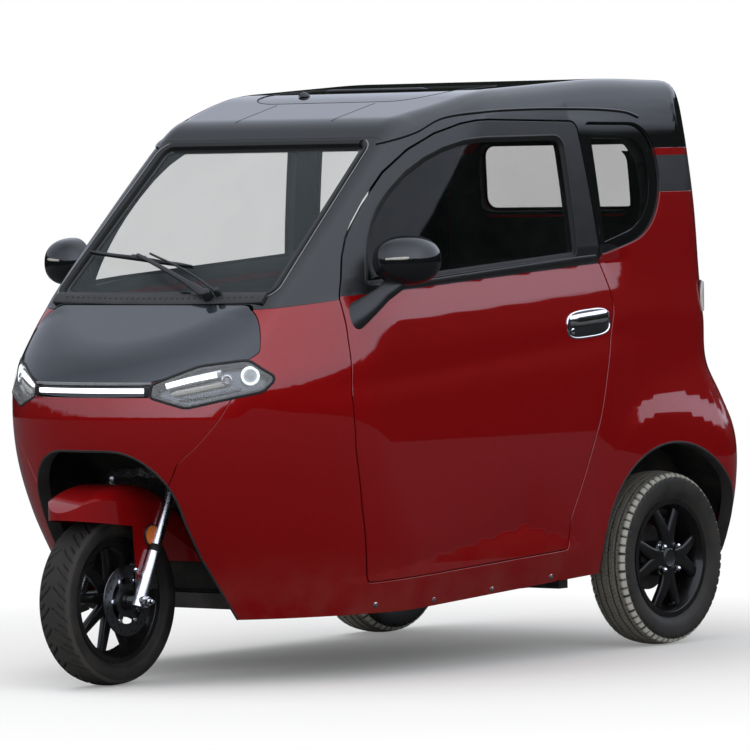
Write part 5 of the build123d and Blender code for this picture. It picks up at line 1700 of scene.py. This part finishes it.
def make_handlebar():
    """Grips, levers with their clamps, end caps, and the display's glass and dial."""
    grips, levers, caps = [], [], []
    for s in (-1, 1):
        inner, outer = np.array((s * 165, -520, 950.0)), np.array((s * 290, -430, 955.0))
        along = unit(outer - inner)
        start = inner + 0.36 * (outer - inner)
        t = np.linspace(0, 1, 45)
        path = start + (outer - start) * t[:, None]
        size = 17.6 + 0.9 * np.sin(t * 60) - 3 * held(t - 0.97) * 30
        grips.append(rod(path, 1, scale=(size, size)))
        caps.append(turned([(0, 0), (0, 15), (5, 15), (9, 10), (10, 0)], outer, along, 24))
        lever = smooth_path([start - along * 22 + (0, -24, 6), start + along * 10 + (0, -52, 2),
                             start + along * 70 + (0, -56, -2), outer + along * -6 + (0, -60, -6)],
                             24)
        levers.append(rod(lever, 5, 3.4, 3))
        clamp = [(-12, 13), (-12, 21), (12, 21), (12, 13)]
        levers.append(turned(clamp, start - along * 22, along, 28))
        block = rounded_block((-17, -21, -15), (17, 15, 15), 4)
        levers.append(place_on(block, start - along * 30 + (0, -6, 4), along, (0, 0, 1)))
    add_shape("handlebar_grips", joined(grips), SEAL, "steering")
    add_shape("handlebar_levers", joined(levers), SATIN, "steering")
    add_shape("handlebar_end_caps", joined(caps), ALLOY, "steering")
    tilt = radians(40)
    up = np.array((0, cos(tilt), sin(tilt)))
    out = np.array((0, -sin(tilt), cos(tilt)))
    centre = np.array((0, -585, 990.0))
    pane = plate(rounded_box((-86, -40), (86, 40), 14), 29.5, 33)
    add_shape("instrument_glass", place_on(pane, centre, (1, 0, 0), up), SKYLIGHT, "steering")
    face, ticks = centre + out * 33.2, []
    for k in range(25):
        a = radians(210 - 10 * k)
        ends = [face + r * cos(a) * np.array((1, 0, 0)) + r * sin(a) * up
                for r in (29 if k % 4 else 26, 32)]
        ticks.append(rod(ends, 0.7, 0.4, 4, out, 8))
    ticks.append(rod([face, face + 24 * unit(up + (0.5, 0, 0))], 0.9, 0.5, 4, out, 8))
    add_shape("instrument_dial", joined(ticks), DIAL, "steering")


def make_dash():
    """Mount, vents and shelf lips on the dash."""
    mount = rod([(-20, -585, 755), (-14, -590, 790)], 12, 6)
    add_shape("dash_screen_mount", mount, SATIN)
    vents = []
    for x in (-420, -330, 330, 420):
        spot = (x, -566, 880)
        vents.append(turned([(0, 34), (0, 40), (6, 40), (8, 37), (6, 34)], spot, (0, 1, 0.15), 40))
        for k in (-18, -6, 6, 18):
            wide = (34**2 - k**2) ** 0.5  # half the vent's width at this height
            vents.append(rod([(x - wide, -564, 880 + k), (x + wide, -564, 880 + k)], 3, 1.4))
    add_shape("dash_vents", joined(vents), SATIN)
    lip = [rod([(s * 135, -571, 800), (s * 300, -569, 800), (s * 470, -571, 800)], 5, 4, 3)
           for s in (-1, 1)]
    add_shape("dash_shelf_lip", joined(lip), LIP)


def make_linings():
    """Ribbed floor mat, and linings of roof, quarters and boot; the quarter linings are near
    black, real trim whose darkness also stands in for the shade inside the cabin.
    """
    gx, gy = np.meshgrid(np.linspace(-455, 455, 120), np.linspace(-545, -60, 14), indexing="ij")
    bumps = 1.2 * (np.sin(gx / 4.5) > 0.2)
    grid = np.concatenate([np.stack((gx, gy, 246 + bumps), -1).reshape(-1, 3),
                           np.stack((gx, gy, 241 + 0 * gx), -1).reshape(-1, 3)])
    add_shape("floor_mat", (grid, closed_sheet(120, 14)), MAT)
    fixed_part = ~N["door_gap"] & ~N["boot_gap"] & ~N["quarter"]
    height = plain_skin.points[plain_skin.tris][:, :, 2].mean(1)
    linings = {
        "roof": N["roof"] & fixed_part & ~N["screen"] & ~N["pillar_part"],
        "quarter": (N["rear_quarter"] | N["band"]) & fixed_part & ~N["roof_gap"] & (height > 640),
        "boot": N["boot"] & ~N["rear_window"] & (height < 1430),
    }
    for name, keep in linings.items():
        linings[name] = cut_panel(plain_skin, keep, 36.0, name != "quarter", 3.0, 1.0)[:2]
    add_shape("roof_lining", linings["roof"], LINING)
    # Near-black quarter linings: real trim, made this dark partly as painted shade of the cabin
    # seen through the glass.
    add_pair("quarter_lining", linings["quarter"], LINER)
    add_shape("boot_lining", linings["boot"], LINER, "boot")


make_seats()
make_dash()
make_handlebar()
make_linings()

# ---- finishes of the solids that stay as they are ----------------------------------------
for finish, nodes in (
    (STEEL, ["chassis_frame", "steering_head", "rear_axle", "rear_springs"]),
    (LINER, ["front_wheelhouse", "rear_wheelhouses", "floor_pan"]),
    (CABIN, ["dashboard", "battery_pack"]), (RED, ["front_mudguard"]), (ALLOY, ["fork"]),
    (SATIN, ["handlebar"]),
):
    for node in nodes:
        for material_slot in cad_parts[node].material_slots:
            material_slot.material = finish

# ---- camera, floor and light -------------------------------------------------------------
VIEW_AZIMUTH, VIEW_ELEVATION, VIEW_ROLL = radians(39.01), radians(2.06), radians(1.05)
VIEW_TARGET, VIEW_DISTANCE = np.array((4.0, 197.0, 787.0)), 18000.0
LENS_MM, SENSOR_MM = 306.9, 36.0
FLOOR_RADIUS = 16.0  # metres


def place_camera():
    """Camera looking at the target from the front left, a little above level."""
    a, e = VIEW_AZIMUTH, VIEW_ELEVATION
    forward = Vector((-sin(a) * cos(e), cos(a) * cos(e), -sin(e)))
    right = Vector((cos(a), sin(a), 0.0))
    up = right.cross(forward)
    right, up = (cos(VIEW_ROLL) * right - sin(VIEW_ROLL) * up,
                 sin(VIEW_ROLL) * right + cos(VIEW_ROLL) * up)
    data = bpy.data.cameras.new("camera")
    data.lens, data.sensor_width, data.clip_end = LENS_MM, SENSOR_MM, 100.0
    camera = bpy.data.objects.new("camera", data)
    turn = Matrix((right, up, -forward)).transposed().to_4x4()
    spot = Vector(VIEW_TARGET * UNIT) - forward * VIEW_DISTANCE * UNIT
    camera.matrix_world = Matrix.Translation(spot) @ turn
    bpy.context.scene.collection.objects.link(camera)
    bpy.context.scene.camera = camera


def place_lamp(name, spot, aim, size, watts):
    """Square soft light at one point, facing another."""
    data = bpy.data.lights.new(name, "AREA")
    data.shape, data.size, data.energy = "SQUARE", size, watts
    light = bpy.data.objects.new(name, data)
    light.location = spot
    light.visible_glossy = False
    light.rotation_euler = (Vector(aim) - Vector(spot)).to_track_quat("-Z", "Y").to_euler()
    bpy.context.scene.collection.objects.link(light)


def light_world():
    """World: even grey light on the object, white for what looks at it, and for reflections
    a dark horizon, trees before it, and a grey-blue sky.

    The sky's height is z - 0.03x - 0.04y + 0.1 noise - 0.05. It is brighter on the camera's
    side and ahead: 0.65 + 1.45 (0.7 + x + 0.3y) + 1.6 (-0.2 - y), each bracket held to 0..1."""
    world = bpy.data.worlds.new("studio")
    bpy.context.scene.world = world
    world.use_nodes = True
    tree = Tree(world.node_tree)

    def background(color, strength=1.0):
        return tree.node("ShaderNodeBackground", None, {"Color": color, "Strength": strength})

    def mixed(factor, first, second):
        return tree.node("ShaderNodeMixShader", None, {0: factor, 1: first, 2: second})

    spot = tree.node("ShaderNodeTexCoord", out="Generated")
    x, y, z = tree.split(spot)
    trees = tree.node("ShaderNodeTexNoise", None, {"Vector": spot, "Scale": 14.0, "Detail": 6.0})
    height = z - x * 0.03 - y * 0.04 + trees * 0.1 - 0.05
    sky = tree.node("ShaderNodeValToRGB", {"stops": (
        (0.0, (0.005, 0.006, 0.005)), (0.135, (0.014, 0.018, 0.014)),
        (0.165, (0.80, 0.86, 1.02)), (1.0, (0.86, 0.92, 1.04)))}, {0: height})
    near_side, ahead = (x + y * 0.3 + 0.7).clamped(), (y * -1.0 - 0.2).clamped()
    bright = near_side * 1.45 + ahead * 1.6 + 0.65
    sky = tree.node("ShaderNodeVectorMath", {"operation": "SCALE"}, {0: sky, "Scale": bright})
    camera, glossy, through = [tree.node("ShaderNodeLightPath", out=f"Is {kind} Ray")
                               for kind in ("Camera", "Glossy", "Transmission")]
    unseen = mixed(glossy, background((0.96, 0.98, 1.0, 1), 0.55), background(sky))
    mix = mixed(camera.most(through), unseen, background((1, 1, 1, 1)))
    tree.links.new(mix.socket, tree.nodes["World Output"].inputs["Surface"])


def lay_floor():
    """Pale floor disc: it takes the object's shadow, and fades to white far out."""
    f = Finish("floor", (0.82, 0.82, 0.81), 0.9)
    x, y, _ = f.split(f.place())
    far = ((x * x + y * y + 0.6) / 7.0).clamped()
    near_shade = f.blend((0.86, 0.86, 0.85, 1), (0.89, 0.89, 0.88, 1), f.noise(3.0, 3.0))
    shiny = f.node("ShaderNodeLightPath", out="Is Glossy Ray")
    f.set("Base Color", f.blend(near_shade, (0.04, 0.04, 0.038, 1), shiny))
    seen = f.node("ShaderNodeLightPath", out="Is Camera Ray")
    mix = f.node("ShaderNodeMixShader", None, {
        0: far * seen, 1: Value(f, f.shader.outputs[0]), 2: f.node("ShaderNodeEmission")})
    f.links.new(mix.socket, f.nodes["Material Output"].inputs["Surface"])
    angles = np.linspace(0, 2 * pi, 96, endpoint=False)
    rim = np.stack((np.cos(angles), np.sin(angles), np.zeros(96)), 1) * FLOOR_RADIUS
    mesh = bpy.data.meshes.new("floor")
    mesh.from_pydata(rim.tolist(), [], [list(range(96))])
    mesh.materials.append(f.material)
    floor = bpy.data.objects.new("floor", mesh)
    bpy.context.scene.collection.objects.link(floor)


place_camera()
place_lamp("top_light", (-1.0, -1.0, 4.6), (0, 0, 0.8), 4.0, 120.0)
place_lamp("side_light", (5.5, -2.0, 3.0), (0, 0, 0.8), 3.0, 60.0)
place_lamp("front_light", (-2.5, -6.0, 2.6), (0, 0, 0.8), 3.0, 45.0)
light_world()
lay_floor()

view = bpy.context.scene.view_settings
view.view_transform = "Standard"
